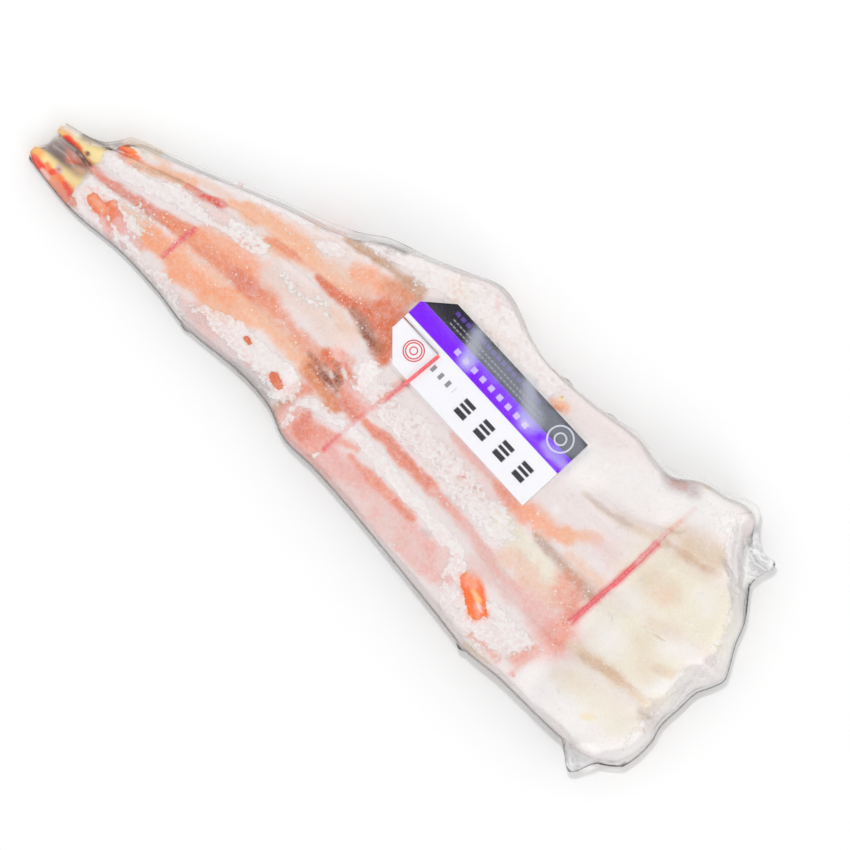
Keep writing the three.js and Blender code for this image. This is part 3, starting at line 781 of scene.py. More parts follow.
    ("pale peach", [(-14, 76), (-6, 66)], 5, 0.8, 0.7, 2),
    ("pale peach", [(12, 66), (34, 68)], 3, 0.7, 0.7, 1.5),
    ("rose", [(10, 84), (13, 80)], 1.4, 0.6, 0.7, 0.6),
    ("light peach", [(72, 60), (78, 62)], 3.4, 1, 0.6, 0.6),
    ("deep orange", [(72, 58), (77, 60)], 1.4, 0.6, 0.8, 0.6),
    ("yellow cream", [(73, 65)], 1.6, 0.9, 0.6, 0.3),
    ("dark brown", [(73, 66)], 0.7, 0.6, 0.6, 0.2),
    # painted shade: a soft tan and grey line along the valley past the card's end
    ("beige", [(118, 33), (134, 33), (152, 37), (168, 42)], (1.6, 3.4), 0.8, 0.9, 1.2),
    ("grey", [(120, 33), (134, 33.5), (150, 36.5)], 1.3, 0.6, 0.9, 0.8),
    ("pink frost", [(142, 18), (158, 16)], 5, 0.6, 0.8, 3),
    # shoulder
    ("white", [(108, 46), (150, 60), (184, 74)], 13, 0.9, 0.6, 2),
    ("white", [(172, -66), (236, -64)], 13, 0.9, 0.6, 2),
    ("grey", [(150, 71), (163, 75)], 5, 0.95, 0.7, 1),
    ("brown", [(152, 71), (158, 73)], 2.4, 0.45, 0.9, 1),
    ("beige", [(160, 81), (170, 83)], 2.2, 0.8, 0.7, 0.6),
    ("cream", [(178, 22), (222, 28)], (19, 20), 1, 0.5, 3),
    ("cream", [(180, -14), (218, -18)], (16, 18), 1, 0.5, 3),
    ("cream", [(184, -50), (220, -50)], (9, 12), 0.7, 0.7, 2),
    ("white", [(176, -18), (184, -20)], 8, 0.75, 0.9, 3),
    ("white", [(175, 5), (178, 6)], 5, 0.6, 0.9, 3),
    ("white", [(210, -2), (222, 3)], 5, 0.6, 0.9, 3),
    ("white", [(218, -27), (228, -16), (236, 2)], 5, 0.8, 0.8, 2.5),
    ("white", [(206, 34), (216, 30)], 5, 0.5, 0.9, 3),
    ("beige", [(178, 22), (190, 22)], 7, 0.5, 0.9, 3),
    ("beige", [(196, 2), (208, 8)], 4, 0.4, 0.9, 3),
    ("pale peach", [(186, 16), (190, 18)], 5, 0.5, 0.9, 2),
    ("beige", [(180, 50), (196, 51)], 9, 1, 0.9, 3),
    ("tan", [(172, 43), (189, 44), (200, 46)], (2, 2.4), 0.5, 0.9, 1),
    ("beige", [(170, -37), (197, -34), (222, -34)], (4, 3), 0.9, 0.8, 1.2),
    ("tan", [(178, -37), (197, -34), (211, -32.5)], 2, 0.5, 0.8, 1),
    ("beige", [(214, -15), (222, -12)], 2.5, 0.7, 0.8, 1),
    ("beige", [(228, -38), (237, -44)], 4, 0.6, 0.8, 1),
    ("yellow cream", [(200, -63), (205, -60)], 1.8, 0.5, 0.8, 1),
    ("beige", [(174, -54), (188, -50)], 5, 0.35, 0.9, 2),
    ("beige", [(196, -8), (214, -24)], 5, 0.3, 0.9, 2),
    # bands seen through the ice
    ("band", [(-150.5, -23), (-149, -6), (-147.4, 1)], 1.3, 0.95, 0.9, 0.3),
    ("band", [(-9.5, -45), (-8.5, -34)], 1.4, 0.9, 0.8, 0.5),
    ("band", [(-8.5, -34), (-6, -18), (-3, -3)], 1.2, 0.35, 0.9, 0.5),
    ("salmon", [(-4, -2), (0.5, 14)], 3, 0.7, 0.8, 0.5),
    ("band", [(160, -26), (163, -2), (168, 38)], 2, 0.85, 0.8, 0.4),
    ("rose", [(168, 44), (169.5, 56)], 1.2, 0.4, 0.9, 0.4),
    ("pink", [(169.5, 56), (171, 68)], 1.3, 0.3, 0.9, 0.4),
    ("pink", [(154, -72), (156, -52)], 1.5, 0.7, 0.8, 0.4),
]

# Colours of the white frost, over the plain white.
FROST_TONES = [
    ("mauve frost", [(-205, -35), (-150, -37), (-110, -41), (-60, -42)], (2, 6), 0.8, 0.7, 2),
    ("pink frost", [(-165, -27), (-120, -31)], 4, 0.6, 0.7, 2),
    ("pink frost", [(-106, -31), (-84, -34)], 5, 0.9, 0.7, 2),
    # painted shade low on the first leg's flank
    ("flank shade grey", [(-78, -43), (-50, -43)], 4, 0.9, 0.7, 1),
    ("frost", [(-200, 22), (-160, 30), (-110, 44)], 4, 0.9, 0.7, 2),
    ("frost", [(-15, -4), (40, -6), (100, -12)], (9, 10), 0.9, 0.7, 4),
    ("mauve frost", [(-30, -56), (40, -62), (90, -70)], 4, 0.6, 0.7, 2),
    ("pink frost", [(88, -58), (140, -64)], 10, 0.5, 0.9, 4),
    ("cream", [(178, 20), (226, 24)], 20, 0.9, 0.6, 4),
    ("cream", [(182, -14), (224, -18)], 13, 0.8, 0.6, 4),
    ("white", [(108, 46), (150, 60), (184, 74)], 14, 1, 0.6, 2),
    ("white", [(172, -66), (236, -64)], 14, 1, 0.6, 2),
    ("frost", [(-56, 66), (-10, 76)], 9, 0.7, 0.6, 3),
    ("cream", [(-10, 80), (-4, 70)], 6, 0.5, 0.8, 3),
]

# White frost, laid on (1) and melted off (0), with the same entries after the value.
ICE_CRUST = [
    (1, [(-214, -26), (-180, -26)], (12, 13), 1, 0.2, 1.5),
    (0.3, [(-214, -31), (-207, -34)], 2.4, 1, 0.6, 1),
    (0.9, [(-184, -34), (-150, -40), (-118, -45)], (8, 11), 1, 0.35, 2),
    (0.95, [(-118, -40), (-102, -33), (-76, -29), (-52, -33)], (7, 10), 1, 0.35, 2),
    (0.3, [(-124, -37), (-96, -40), (-60, -43)], 4.5, 1, 0.6, 2),
    (0.5, [(-186, -14), (-168, -16)], 5, 1, 0.6, 2),
    (0.35, [(-180, -25), (-164, -25)], 3, 1, 0.7, 2),
    (0.9, [(-224, -2), (-200, 0), (-180, 4), (-160, 9), (-140, 14), (-112, 18)], (4, 5.5), 1, 0.5, 1.5),
    (0.45, [(-150, 14), (-116, 17)], 3.5, 0.8, 0.6, 1.5),
    (0.95, [(-190, 23), (-170, 29), (-130, 41), (-98, 50)], (3, 5), 1, 0.4, 2),
    (0.7, [(-178, 10), (-164, 12)], 2.2, 1, 0.5, 1.5),
    (0.3, [(-156, 15), (-138, 17)], 2.6, 1, 0.7, 1.5),
    (0.55, [(-96, 14), (-60, 15)], 4, 0.8, 0.7, 2),
    (0.8, [(-90, 41), (-76, 46)], 3.6, 0.9, 0.5, 1.5),
    (0.8, [(-64, 66), (-30, 70), (0, 76), (60, 66)], (7, 12), 1, 0.5, 3),
    (1, [(-31, -29), (-36, -34), (-36, -50)], (3.5, 2), 1, 0.3, 1.2),
    (1, [(-30, -29), (-14, -29), (0, -27), (28, -31), (60, -36), (86, -40)], (2.4, 4.6), 1, 0.3, 1.5),
    (0.75, [(-14, -2), (20, -3), (60, -8), (95, -14)], (8, 9), 1, 0.5, 3),
    (0.9, [(-21, 6), (-12, 0)], 6, 1, 0.4, 1.5),
    (1, [(-12, -42), (-11, -52)], 0.9, 0.9, 0.5, 0.4),
    (0.95, [(90, -48), (104, -62), (130, -64)], (6, 10), 1, 0.3, 2.5),
    (0.9, [(122, -50), (146, -56)], 6, 0.9, 0.5, 2.5),
    (0.2, [(150, 73), (166, 78)], 4, 1, 0.5, 1),
    (0.8, [(190, 76), (206, 64), (216, 50)], 4, 0.9, 0.6, 2),
    (0.9, [(238, -56), (240, -30), (246, 4), (236, 32), (226, 46)], 9, 1, 0.7, 3),
    (0.2, [(-150.5, -23), (-149, -6), (-147.4, 1)], 1.5, 0.8, 0.8, 0.3),
    (0.1, [(-9.5, -45), (-6, -18), (-3, -3)], 1.4, 0.8, 0.9, 0.6),
    # windows melted through it
    (0, [(-202, -24), (-195, -25)], 4.2, 1, 0.25, 1),
    (0, [(-191, -19.5), (-186, -23)], 3.6, 1, 0.3, 1.2),
    (0.2, [(-191, -29), (-181, -34)], 3, 0.9, 0.4, 1),
    (0, [(-175, -32.5), (-170, -33)], 0.9, 1, 0.4, 0.4),
    (0, [(-84, -26.5), (-81, -27)], 2, 1, 0.3, 0.5),
    (0, [(-58, -33), (-53, -34.5)], 2.8, 1, 0.3, 0.6),
    (0, [(-33, -38), (-26, -45), (-12, -42)], (3.5, 5.5), 1, 0.25, 1),
    (0, [(80, -44), (84, -52)], 3, 1, 0.3, 1),
    (0, [(92, -54), (98, -56)], 2, 0.8, 0.4, 0.7),
    (0, [(104, -65.5), (108, -65)], 1.8, 1, 0.4, 0.7),
    (0, [(129, -58), (131, -58)], 1.8, 0.8, 0.4, 0.7),
    (0.35, [(122, -70), (132, -69), (142, -71)], 2.4, 0.9, 0.7, 1.2),
    (0.3, [(151, -63), (156, -55)], 3.4, 0.9, 0.7, 1),
    (0, [(-95, 47)], 2, 0.7, 0.5, 0.8),
    (0.2, [(72, 60), (78, 62)], 3, 1, 0.5, 0.6),
    (0, [(102, -47), (116, -57)], (5, 5.4), 1, 0.15, 0.6),
]

# How bubbly the ice is.
ICE_BUBBLES = [
    (1, [(-170, -8), (-120, -2), (-60, -5)], 9, 1, 0.6, 3),
    (0.5, [(-52, -6), (-24, -14)], 8, 1, 0.5, 2),
    (0.8, [(-110, 28), (-60, 32), (-28, 24)], 8, 1, 0.6, 3),
    (0.8, [(110, -3), (160, -8)], 8, 1, 0.6, 2),
    (1, [(145, -12), (165, -45)], 9, 1, 0.6, 2),
    (0.8, [(165, -36), (238, -34)], 6, 1, 0.6, 2),
    (0.5, [(10, -16), (100, -30)], 6, 1, 0.6, 2),
]

# Where the frost is crackled: white ridges round pits through which the ice shows.
ICE_CRACKLE = [
    (1, [(-25, 0), (20, -2), (60, -6), (92, -10)], (10, 8), 1, 0.4, 2),
    (1, [(-36, -50), (-35, -32), (-14, -30), (28, -30), (86, -38)], (4, 5), 1, 0.4, 1.5),
    (0.8, [(88, -56), (128, -62), (150, -66)], 10, 1, 0.5, 3),
    (0.35, [(-210, -30), (-180, -33), (-120, -38), (-60, -37)], (7, 10), 1, 0.5, 2),
    (0.5, [(-150, 24), (-128, 38), (-90, 46)], 5, 1, 0.6, 2),
    (0, [(102, -47), (116, -57)], 8, 1, 0.2, 0.5),
    (0, [(104, 28), (150, 26)], 16, 1, 0.4, 2),
    (0, [(180, 20), (236, 24)], (24, 30), 1, 0.4, 2),
    (0, [(182, -20), (232, -30)], (18, 26), 1, 0.4, 2),
]

# Colours of the bare shell at the tips.
SHELL_TONES = [
    # first leg's tip
    ("yellow cream", [(-246, -24), (-216, -20)], 6, 1, 0.4, 0.6),
    ("orange", [(-246, -30), (-214, -33)], 3.6, 0.9, 0.5, 0.6),
    ("amber", [(-250, -26), (-245, -24)], 4, 0.9, 0.6, 0.5),
    ("red orange", [(-244, -29.5), (-238, -30)], 3, 1, 0.35, 0.8),
    ("vivid orange", [(-236, -26), (-233, -28)], 1.8, 0.9, 0.5, 0.8),
    ("red orange", [(-231, -28), (-228, -25)], 1.6, 0.9, 0.5, 0.6),
    ("vivid orange", [(-226, -27), (-219, -29)], 1.8, 0.9, 0.5, 1),
    ("rose", [(-224, -32), (-214, -34)], 2.2, 0.9, 0.5, 0.8),
    ("red", [(-221, -28), (-214, -31)], 1.5, 0.9, 0.5, 0.6),
    ("mauve frost", [(-230, -23), (-228, -24)], 1.8, 0.9, 0.5, 0.4),
    ("pink", [(-236, -31), (-231, -32)], 1.6, 1, 0.5, 0.4),
    ("brown", [(-229, -24)], 1, 0.8, 0.5, 0.2),
    # second leg's tip
    ("yellow cream", [(-244, -4), (-218, -3)], 6, 1, 0.4, 0.6),
    ("amber", [(-246, -4), (-240, -6)], 3.8, 0.8, 0.6, 0.5),
    ("amber", [(-246, -1), (-236, 0)], 1.5, 0.7, 0.6, 0.5),
    ("red orange", [(-237, -8.6), (-229, -9)], 2.4, 1, 0.35, 0.8),
    ("vivid orange", [(-230, -7), (-226, -9)], 1.8, 0.7, 0.5, 0.6),
    ("dark brown", [(-222.5, -6.5)], 1.4, 1, 0.4, 0.2),
    # third leg's tip
    ("yellow cream", [(-211, 15), (-194, 18)], 5, 1, 0.5, 0.6),
    ("vivid orange", [(-209, 9), (-200, 10)], 3, 1, 0.4, 0.8),
    ("red", [(-210, 8), (-207, 8)], 1.4, 0.8, 0.5, 0.5),
    ("dark brown", [(-213, 8)], 1.4, 0.8, 0.5, 0.3),
]

# ---------------------------------------------------------------- node materials

# Sizes of noise in mm and their weights, for feathery borders.
RAGGED = [(6.5, 1.0), (2.4, 0.9), (0.9, 0.6)]

# Spacing of the bubbles in mm, and the share of the places where there is one.
BUBBLES = [(2.4, 0.6), (1.4, 0.5)]
BUBBLE_RADIUS = (0.12, 0.16)  # the smallest, as a share of the spacing, and how much larger they get

CRACKLE_SIZE = 4.6            # of the frost's ridges and pits in mm, and how far they are bent
CRACKLE_BEND = 3.4
RIDGE_FROST = 0.4             # frost that a ridge adds
PIT_FROST = 0.8               # and that a pit takes away
FILM_IOR = 1.2                # low, as thin film mirrors little
FLOOR_SHADES = (0.785, 0.795)


class Shader:
    """Builds a node tree in short calls."""

    def __init__(self, name):
        self.material = bpy.data.materials.new(name)
        self.material.use_nodes = True
        self.tree = self.material.node_tree
        self.tree.nodes.clear()
        self.output = self.tree.nodes.new("ShaderNodeOutputMaterial")

    def link(self, source, socket):
        if hasattr(source, "node"):
            self.tree.links.new(source, socket)
        else:
            socket.default_value = source

    def node(self, kind, inputs=None, **settings):
        node = self.tree.nodes.new(kind)
        for key, value in settings.items():
            setattr(node, key, value)
        for key, value in (inputs or {}).items():
            self.link(value, node.inputs[key])
        return node

    def attribute(self, name, field="Fac"):
        return self.node("ShaderNodeAttribute", attribute_name=name).outputs[field]

    def place(self):
        """The point's place in the frame, in metres."""
        return self.node("ShaderNodeTexCoord").outputs["Object"]

    def stretched(self, scale):
        return self.node("ShaderNodeMapping", {"Vector": self.place(), "Scale": scale}).outputs["Vector"]

    def bent(self, size_mm):
        """The point's place, pushed about by noise so that straight patterns look bent."""
        inputs = {"Vector": self.place(), "Scale": 1 / (size_mm * MM), "Detail": 1.0}
        push = self.node("ShaderNodeTexNoise", inputs).outputs["Color"]
        scaled = self.node("ShaderNodeVectorMath", {0: push, 1: (size_mm * MM,) * 3}, operation="MULTIPLY")
        return self.node("ShaderNodeVectorMath", {0: self.place(), 1: scaled.outputs[0]}).outputs[0]

    def noise(self, size_mm, detail=2.0, roughness=0.5, vector=None):
        inputs = {"Vector": vector or self.place(), "Scale": 1 / (size_mm * MM), "Detail": detail,
                  "Roughness": roughness}
        return self.node("ShaderNodeTexNoise", inputs).outputs["Fac"]

    def cells(self, size_mm, feature="F1", vector=None):
        inputs = {"Vector": vector or self.place(), "Scale": 1 / (size_mm * MM)}
        return self.node("ShaderNodeTexVoronoi", inputs, feature=feature)

    def math(self, operation, a, b=0.0, clamp=False):
        return self.node("ShaderNodeMath", {0: a, 1: b}, operation=operation, use_clamp=clamp).outputs[0]

    def ramp(self, value, low, high, out_low=0.0, out_high=1.0):
        """Value stepped smoothly from out_low at low to out_high at high."""
        inputs = {"Value": value, "From Min": low, "From Max": high, "To Min": out_low, "To Max": out_high}
        return self.node("ShaderNodeMapRange", inputs, interpolation_type="SMOOTHSTEP").outputs["Result"]

    def mix(self, share, a, b):
        node = self.node("ShaderNodeMix", data_type="RGBA")
        for value, socket in ((share, node.inputs[0]), (a, node.inputs[6]), (b, node.inputs[7])):
            if isinstance(value, (tuple, list, np.ndarray)):
                value = (*[float(v) for v in value], 1.0)
            self.link(value, socket)
        return node.outputs[2]

    def bump(self, height, distance_mm, strength=1.0):
        inputs = {"Height": height, "Distance": distance_mm * MM, "Strength": strength}
        return self.node("ShaderNodeBump", inputs).outputs["Normal"]

    def principled(self, **inputs):
        return self.node("ShaderNodeBsdfPrincipled", {k.replace("_", " "): v for k, v in inputs.items()})

    def finish(self, shader):
        self.tree.links.new(shader.outputs[0], self.output.inputs["Surface"])
        return self.material


def ragged_field(s):
    """Noise of several sizes about 0."""
    total = 0.0
    for size, weight in RAGGED:
        part = s.math("MULTIPLY", s.math("SUBTRACT", s.noise(size, 1.5, 0.6), 0.5), weight)
        total = s.math("ADD", part, total)
    return total


def bubble_mask(s):
    """White dots of two sizes, in clusters where the ice is bubbly."""
    wanted = s.math("MULTIPLY", s.attribute("bubbles"), s.ramp(s.noise(6, 2), 0.4, 0.6))
    total = 0.0
    smallest, spread = BUBBLE_RADIUS
    for size, share in BUBBLES:
        dots = s.cells(size)
        chance = s.node("ShaderNodeSeparateColor", {"Color": dots.outputs["Color"]})
        radius = s.math("ADD", s.math("MULTIPLY", chance.outputs[1], spread), smallest)
        near = s.ramp(s.math("DIVIDE", dots.outputs["Distance"], radius), 0.6, 1.2, 1.0, 0.0)
        chosen = s.math("GREATER_THAN", s.math("MULTIPLY", wanted, share), chance.outputs[0])
        total = s.math("MAXIMUM", s.math("MULTIPLY", near, chosen), total)
    return total


def frost_cover(s):
    """How much white frost lies on the ice: ragged at its borders, and crackled into ridges and pits."""
    cracked = s.attribute("crackle")
    edge = s.cells(CRACKLE_SIZE, "DISTANCE_TO_EDGE", s.bent(CRACKLE_BEND)).outputs["Distance"]
    ridges = s.math("MULTIPLY", s.ramp(edge, 0.0, 0.16, 1.0, 0.0), cracked)
    pits = s.math("MULTIPLY", s.ramp(s.noise(2.6, 2, 0.65), 0.47, 0.6), s.ramp(edge, 0.08, 0.3))
    pits = s.math("MULTIPLY", pits, cracked)
    crust = s.ramp(s.math("ADD", s.attribute("crust"), ragged_field(s)), 0.42, 0.58)
    cover = s.math("SUBTRACT", crust, s.math("MULTIPLY", pits, PIT_FROST), clamp=True)
    return s.math("ADD", cover, s.math("MULTIPLY", ridges, RIDGE_FROST), clamp=True)


def ice_colour(s, cover):
    """The ice's tint, mottled and grained, with the frost and the bubbles laid over it."""
    tone, under = s.attribute("tone", "Color"), s.attribute("under", "Color")
    veil = s.attribute("veil", "Color")
    grain = s.noise(2.4, 4, 0.7)
    broad = s.mix(s.ramp(s.noise(8, 2, 0.6), 0.45, 0.7, 0.0, 0.22), tone, veil)
    pale = s.mix(s.ramp(grain, 0.5, 0.72, 0.0, 0.3), broad, PALETTE["frost"])
    tint = s.mix(s.ramp(s.noise(1.7, 3, 0.7), 0.46, 0.7, 0.0, 0.6), pale, under)
    frost = s.mix(s.ramp(grain, 0.38, 0.62), veil, PALETTE["white"])
    return s.mix(bubble_mask(s), s.mix(s.math("MULTIPLY", cover, 0.95), tint, frost), PALETTE["white"])


def ice_material():
    """Glaze: tinted ice with ragged, crackled white frost, bubbles and grain."""
    s = Shader("glaze_ice")
    cover = frost_cover(s)
    height = s.math("ADD", s.math("MULTIPLY", s.noise(0.9, 2, 0.6), 0.4), s.math("MULTIPLY", cover, 0.6))
    return s.finish(s.principled(
        Base_Color=ice_colour(s, cover), Normal=s.bump(height, 0.45, 0.9),
        Roughness=s.ramp(cover, 0, 1, 0.3, 0.6)))


def shell_material():
    """Crab shell: painted tones, pores and fine speckles under a wet gloss."""
    s = Shader("crab_shell")
    pores = s.cells(1.3).outputs["Distance"]
    mottle = s.ramp(s.noise(2.6, 4, 0.6), 0.42, 0.72, 0.0, 0.4)
    base = s.mix(mottle, s.attribute("tone", "Color"), s.attribute("under", "Color"))
    height = s.math("ADD", s.noise(1.4, 3), s.ramp(pores, 0.05, 0.4, 0.0, 0.5))
    return s.finish(s.principled(
        Base_Color=base, Normal=s.bump(height, 0.3, 0.5), Roughness=s.ramp(s.noise(5), 0.3, 0.7, 0.25, 0.45),
        Subsurface_Weight=0.2, Subsurface_Radius=(1.0, 0.4, 0.25), Subsurface_Scale=0.002,
        Coat_Weight=0.3, Coat_Roughness=0.15))


def meat_material():
    """Shoulder meat: pale fibres that run along the legs."""
    s = Shader("crab_meat")
    fibres = s.noise(1.0, 3, 0.6, s.stretched((0.12, 1.0, 1.0)))
    base = s.mix(s.ramp(fibres, 0.35, 0.7), PALETTE["cream"], PALETTE["beige"])
    return s.finish(s.principled(
        Base_Color=base, Normal=s.bump(fibres, 0.5, 0.6), Roughness=s.ramp(fibres, 0.3, 0.7, 0.35, 0.5),
        Subsurface_Weight=0.3, Subsurface_Radius=(1.0, 0.7, 0.5), Subsurface_Scale=0.003))


def band_material():
    """Red rubber with a dusty, slightly uneven face."""
    s = Shader("red_rubber")
    dust = s.noise(1.2, 4, 0.65)
    base = s.mix(s.ramp(dust, 0.4, 0.75, 0.0, 0.45), colour(240, 100, 110), colour(250, 166, 168))
    patchy = s.math("MULTIPLY", s.math("SUBTRACT", dust, 0.5), 0.8)
    frosted = s.math("ADD", s.attribute("veil"), patchy, clamp=True)
    base = s.mix(frosted, base, PALETTE["pink frost"])
    return s.finish(s.principled(
        Base_Color=base, Normal=s.bump(dust, 0.15, 0.5), Roughness=s.ramp(dust, 0.3, 0.7, 0.4, 0.6)))


def film_material():
    """Clear film: a thin gloss, hazed where it is webbed or creased, and where glare, shade and a rim shadow
    are painted into its haze and tone.
    """
    s = Shader("clear_film")
    crease, line = s.attribute("crease"), s.attribute("line")
    long_creases = s.noise(2.4, 2, 0.6, s.stretched((0.35, 1.0, 1.0)))
    from_fold = s.math("ABSOLUTE", s.math("SUBTRACT", s.noise(6.0, 1), 0.5))
    folds = s.math("MULTIPLY", s.ramp(from_fold, 0.0, 0.04, 1.0, 0.0), crease)
    normal = s.bump(s.math("ADD", s.math("MULTIPLY", long_creases, 0.5), folds), 0.45, 0.4)
    streak = s.ramp(s.noise(3.0, 2, 0.6, s.stretched((0.4, 1.0, 1.0))), 0.42, 0.66)
    white = s.math("MAXIMUM", s.math("MULTIPLY", streak, crease), line)
    haze = s.math("MULTIPLY", s.attribute("web"), s.ramp(white, 0.0, 1.0, 0.62, 0.9))
    haze = s.math("MAXIMUM", haze, s.math("MULTIPLY", line, 0.5), clamp=True)
    gloss = s.node("ShaderNodeBsdfGlossy", {"Color": (1, 1, 1, 1), "Roughness": 0.16, "Normal": normal})
    clear = s.node("ShaderNodeBsdfTransparent")
    mirror = s.node("ShaderNodeFresnel", {"IOR": FILM_IOR, "Normal": normal}).outputs[0]
    glass = s.node("ShaderNodeMixShader", {0: mirror, 1: clear.outputs[0], 2: gloss.outputs[0]})
    tone = s.mix(s.math("MULTIPLY", white, 0.75), s.attribute("tone", "Color"), PALETTE["film white"])
    cloudy = s.principled(Base_Color=tone, Roughness=0.2, Normal=normal)
    return s.finish(s.node("ShaderNodeMixShader", {0: haze, 1: glass.outputs[0], 2: cloudy.outputs[0]}))


def floor_material():
    """White paper, with hardly any shade in it."""
    s = Shader("studio_floor")
    dark, light = [(shade,) * 3 for shade in FLOOR_SHADES]
    return s.finish(s.principled(
        Base_Color=s.mix(s.noise(400), dark, light), Roughness=0.8, Specular_IOR_Level=0.0))


# ---------------------------------------------------------------- the card tag

CARD_ROUNDING = 0.3           # how far in the card's edge is rounded, and how much lower it is
CARD_EDGE_DROP = 0.18

# Fields of colour: their low and high sides across the card.
VIOLET_FIELD = (1.5, 12.4)
DARK_FIELD = (12.4, 40)

# Rows of dashes in the place of print: from and to along the card, low and high side of each row
# across it, pitch, how much of the pitch a dash fills, how strong it is, and its colour.
DASHES = [
    ((-92, -30), [(5, 8.4)], 7, 0.48, 0.85, (226, 210, 250)),
    ((-104, -30), [(14.4, 15.3), (17.2, 18.1)], 2.6, 0.72, 0.6, (190, 190, 200)),
    ((-106, -36), [(20.3, 22.8)], 4.2, 0.72, 0.75, (112, 74, 190)),
]

# Dark dashes on the white field, given up to how much of the pitch they fill.
BIG_DASHES = ((-70, -6), [(-17.5, -7)], 16, 0.5)
BIG_DASH_SLOTS = ((-70, -6), [(-14.2, -12.8), (-10.8, -9.6)], 16, 0.9)
SMALL_DASHES = ((-94, -74), [(-11.5, -7.5)], 6, 0.4)
SMALL_DASH_STRENGTH = 0.7

# Rings: middle, radii, half width of the line and colour.
RINGS = [
    ((-106, -11), (2.2, 4.6, 6), 0.35, (224, 62, 66)),
    ((-13, 16), (3.4, 7.6), 0.5, (236, 236, 242)),
]


def inside(s, value, low, high, soft=0.12):
    """1 where value is between low and high, with a thin soft edge."""
    rising = s.ramp(value, low - soft, low + soft)
    falling = s.ramp(value, high - soft, high + soft, 1.0, 0.0)
    return s.math("MULTIPLY", rising, falling)


def any_of(s, masks):
    total = masks[0]
    for mask in masks[1:]:
        total = s.math("MAXIMUM", total, mask)
    return total


def ring_mask(s, along, across, centre, radius, line):
    dx = s.math("SUBTRACT", along, centre[0])
    dy = s.math("SUBTRACT", across, centre[1])
    distance = s.math("SQRT", s.math("ADD", s.math("MULTIPLY", dx, dx), s.math("MULTIPLY", dy, dy)))
    return inside(s, distance, radius - line, radius + line)


def dash_mask(s, along, across, span, rows, pitch, duty):
    """Rows of dashes: span along the tag, rows as (low, high) pairs across it."""
    phase = s.math("FRACT", s.math("DIVIDE", s.math("SUBTRACT", along, span[0]), pitch))
    dash = inside(s, phase, 0.5 - duty / 2, 0.5 + duty / 2, 0.03)
    lines = any_of(s, [inside(s, across, low, high) for low, high in rows])
    return s.math("MULTIPLY", s.math("MULTIPLY", dash, lines), inside(s, along, *span))


def card_material():
    """White, violet and dark fields printed with plain bars, dots and rings."""
    s = Shader("printed_card")
    along, across = s.attribute("along"), s.attribute("across")
    base = s.mix(inside(s, across, *VIOLET_FIELD), colour(248, 248, 252), colour(136, 0, 255))
    base = s.mix(inside(s, across, *DARK_FIELD), base, colour(30, 26, 42))
    big = dash_mask(s, along, across, *BIG_DASHES)
    slots = dash_mask(s, along, across, *BIG_DASH_SLOTS)
    small = s.math("MULTIPLY", dash_mask(s, along, across, *SMALL_DASHES), SMALL_DASH_STRENGTH)
    barred = s.math("SUBTRACT", big, slots, clamp=True)
    base = s.mix(s.math("MAXIMUM", barred, small), base, colour(62, 60, 66))
    for *row, strength, tone in DASHES:
        base = s.mix(s.math("MULTIPLY", dash_mask(s, along, across, *row), strength), base, colour(*tone))
    for middle, radii, line, tone in RINGS:
        rings = any_of(s, [ring_mask(s, along, across, middle, radius, line) for radius in radii])
        base = s.mix(rings, base, colour(*tone))
    paper = s.noise(0.8, 3)
    base = s.mix(s.ramp(paper, 0.3, 0.8, 0.0, 0.06), base, colour(214, 214, 222))
    return s.finish(s.principled(
        Base_Color=base, Normal=s.bump(paper, 0.05, 0.3), Roughness=s.ramp(paper, 0.2, 0.8, 0.28, 0.4),
        Specular_IOR_Level=0.15))


def card_grid():
    """Places along and across the card, finer at its nose, its edges and both sides of its slit."""
    nose, shoulder = -TAG_LENGTH, TAG_CHAMFER - TAG_LENGTH
    alongs = np.unique(np.concatenate([
        np.linspace(nose, shoulder, 9), np.linspace(shoulder, 0, 46),
        [nose + SLIT_LENGTH, -0.25, nose + 0.25]]))[:, None]
    shares = np.concatenate([[0, 0.012], np.linspace(0.05, 1, 12)])
    half = tag_half_width(alongs)
    low = lerp(-half, SLIT_OFFSET - SLIT_WIDTH / 2, shares)
    high = lerp(half, SLIT_OFFSET + SLIT_WIDTH / 2, shares)[:, ::-1]
    across = np.hstack([low, high])
    slit = np.zeros((len(alongs) - 1, across.shape[1] - 1), bool)
    slit[alongs[1:, 0] <= nose + SLIT_LENGTH + 1e-6, len(shares) - 1] = True
    return np.repeat(alongs, across.shape[1], 1), across, slit


def plate_faces(over, open_cells):
    """Faces of a plate's top, but for its open cells, of its underside and of the walls between them."""
    count = over.size
    tops = [face for face, is_open in zip(grid_faces(over), open_cells.ravel()) if not is_open]
    edges = dict.fromkeys(edge for face in tops for edge in zip(face, face[1:] + face[:1]))
    walls = [[b, a, a + count, b + count] for a, b in edges if (b, a) not in edges]
    return tops + walls + [[v + count for v in reversed(face)] for face in tops]


def tag_piece():
    """The tag: a thin curved plate, slit from its nose, with slightly rounded edges."""
    along, across, slit = card_grid()
    x, y = from_tag(along, across)
    under = tag_underside(along, across)
    from_edge = clip01(-beyond_tag(along, across) / CARD_ROUNDING)
    top = under + TAG_THICKNESS - CARD_EDGE_DROP * (1 - from_edge)
    points = [np.stack([x, y, z], -1).reshape(-1, 3) for z in (top, under)]
    attributes = {"along": np.tile(along.ravel(), 2), "across": np.tile(across.ravel(), 2)}
    faces = plate_faces(np.arange(x.size).reshape(x.shape), slit)
    return mesh_object("label_card", np.concatenate(points), faces, attributes)


# ---------------------------------------------------------------- film

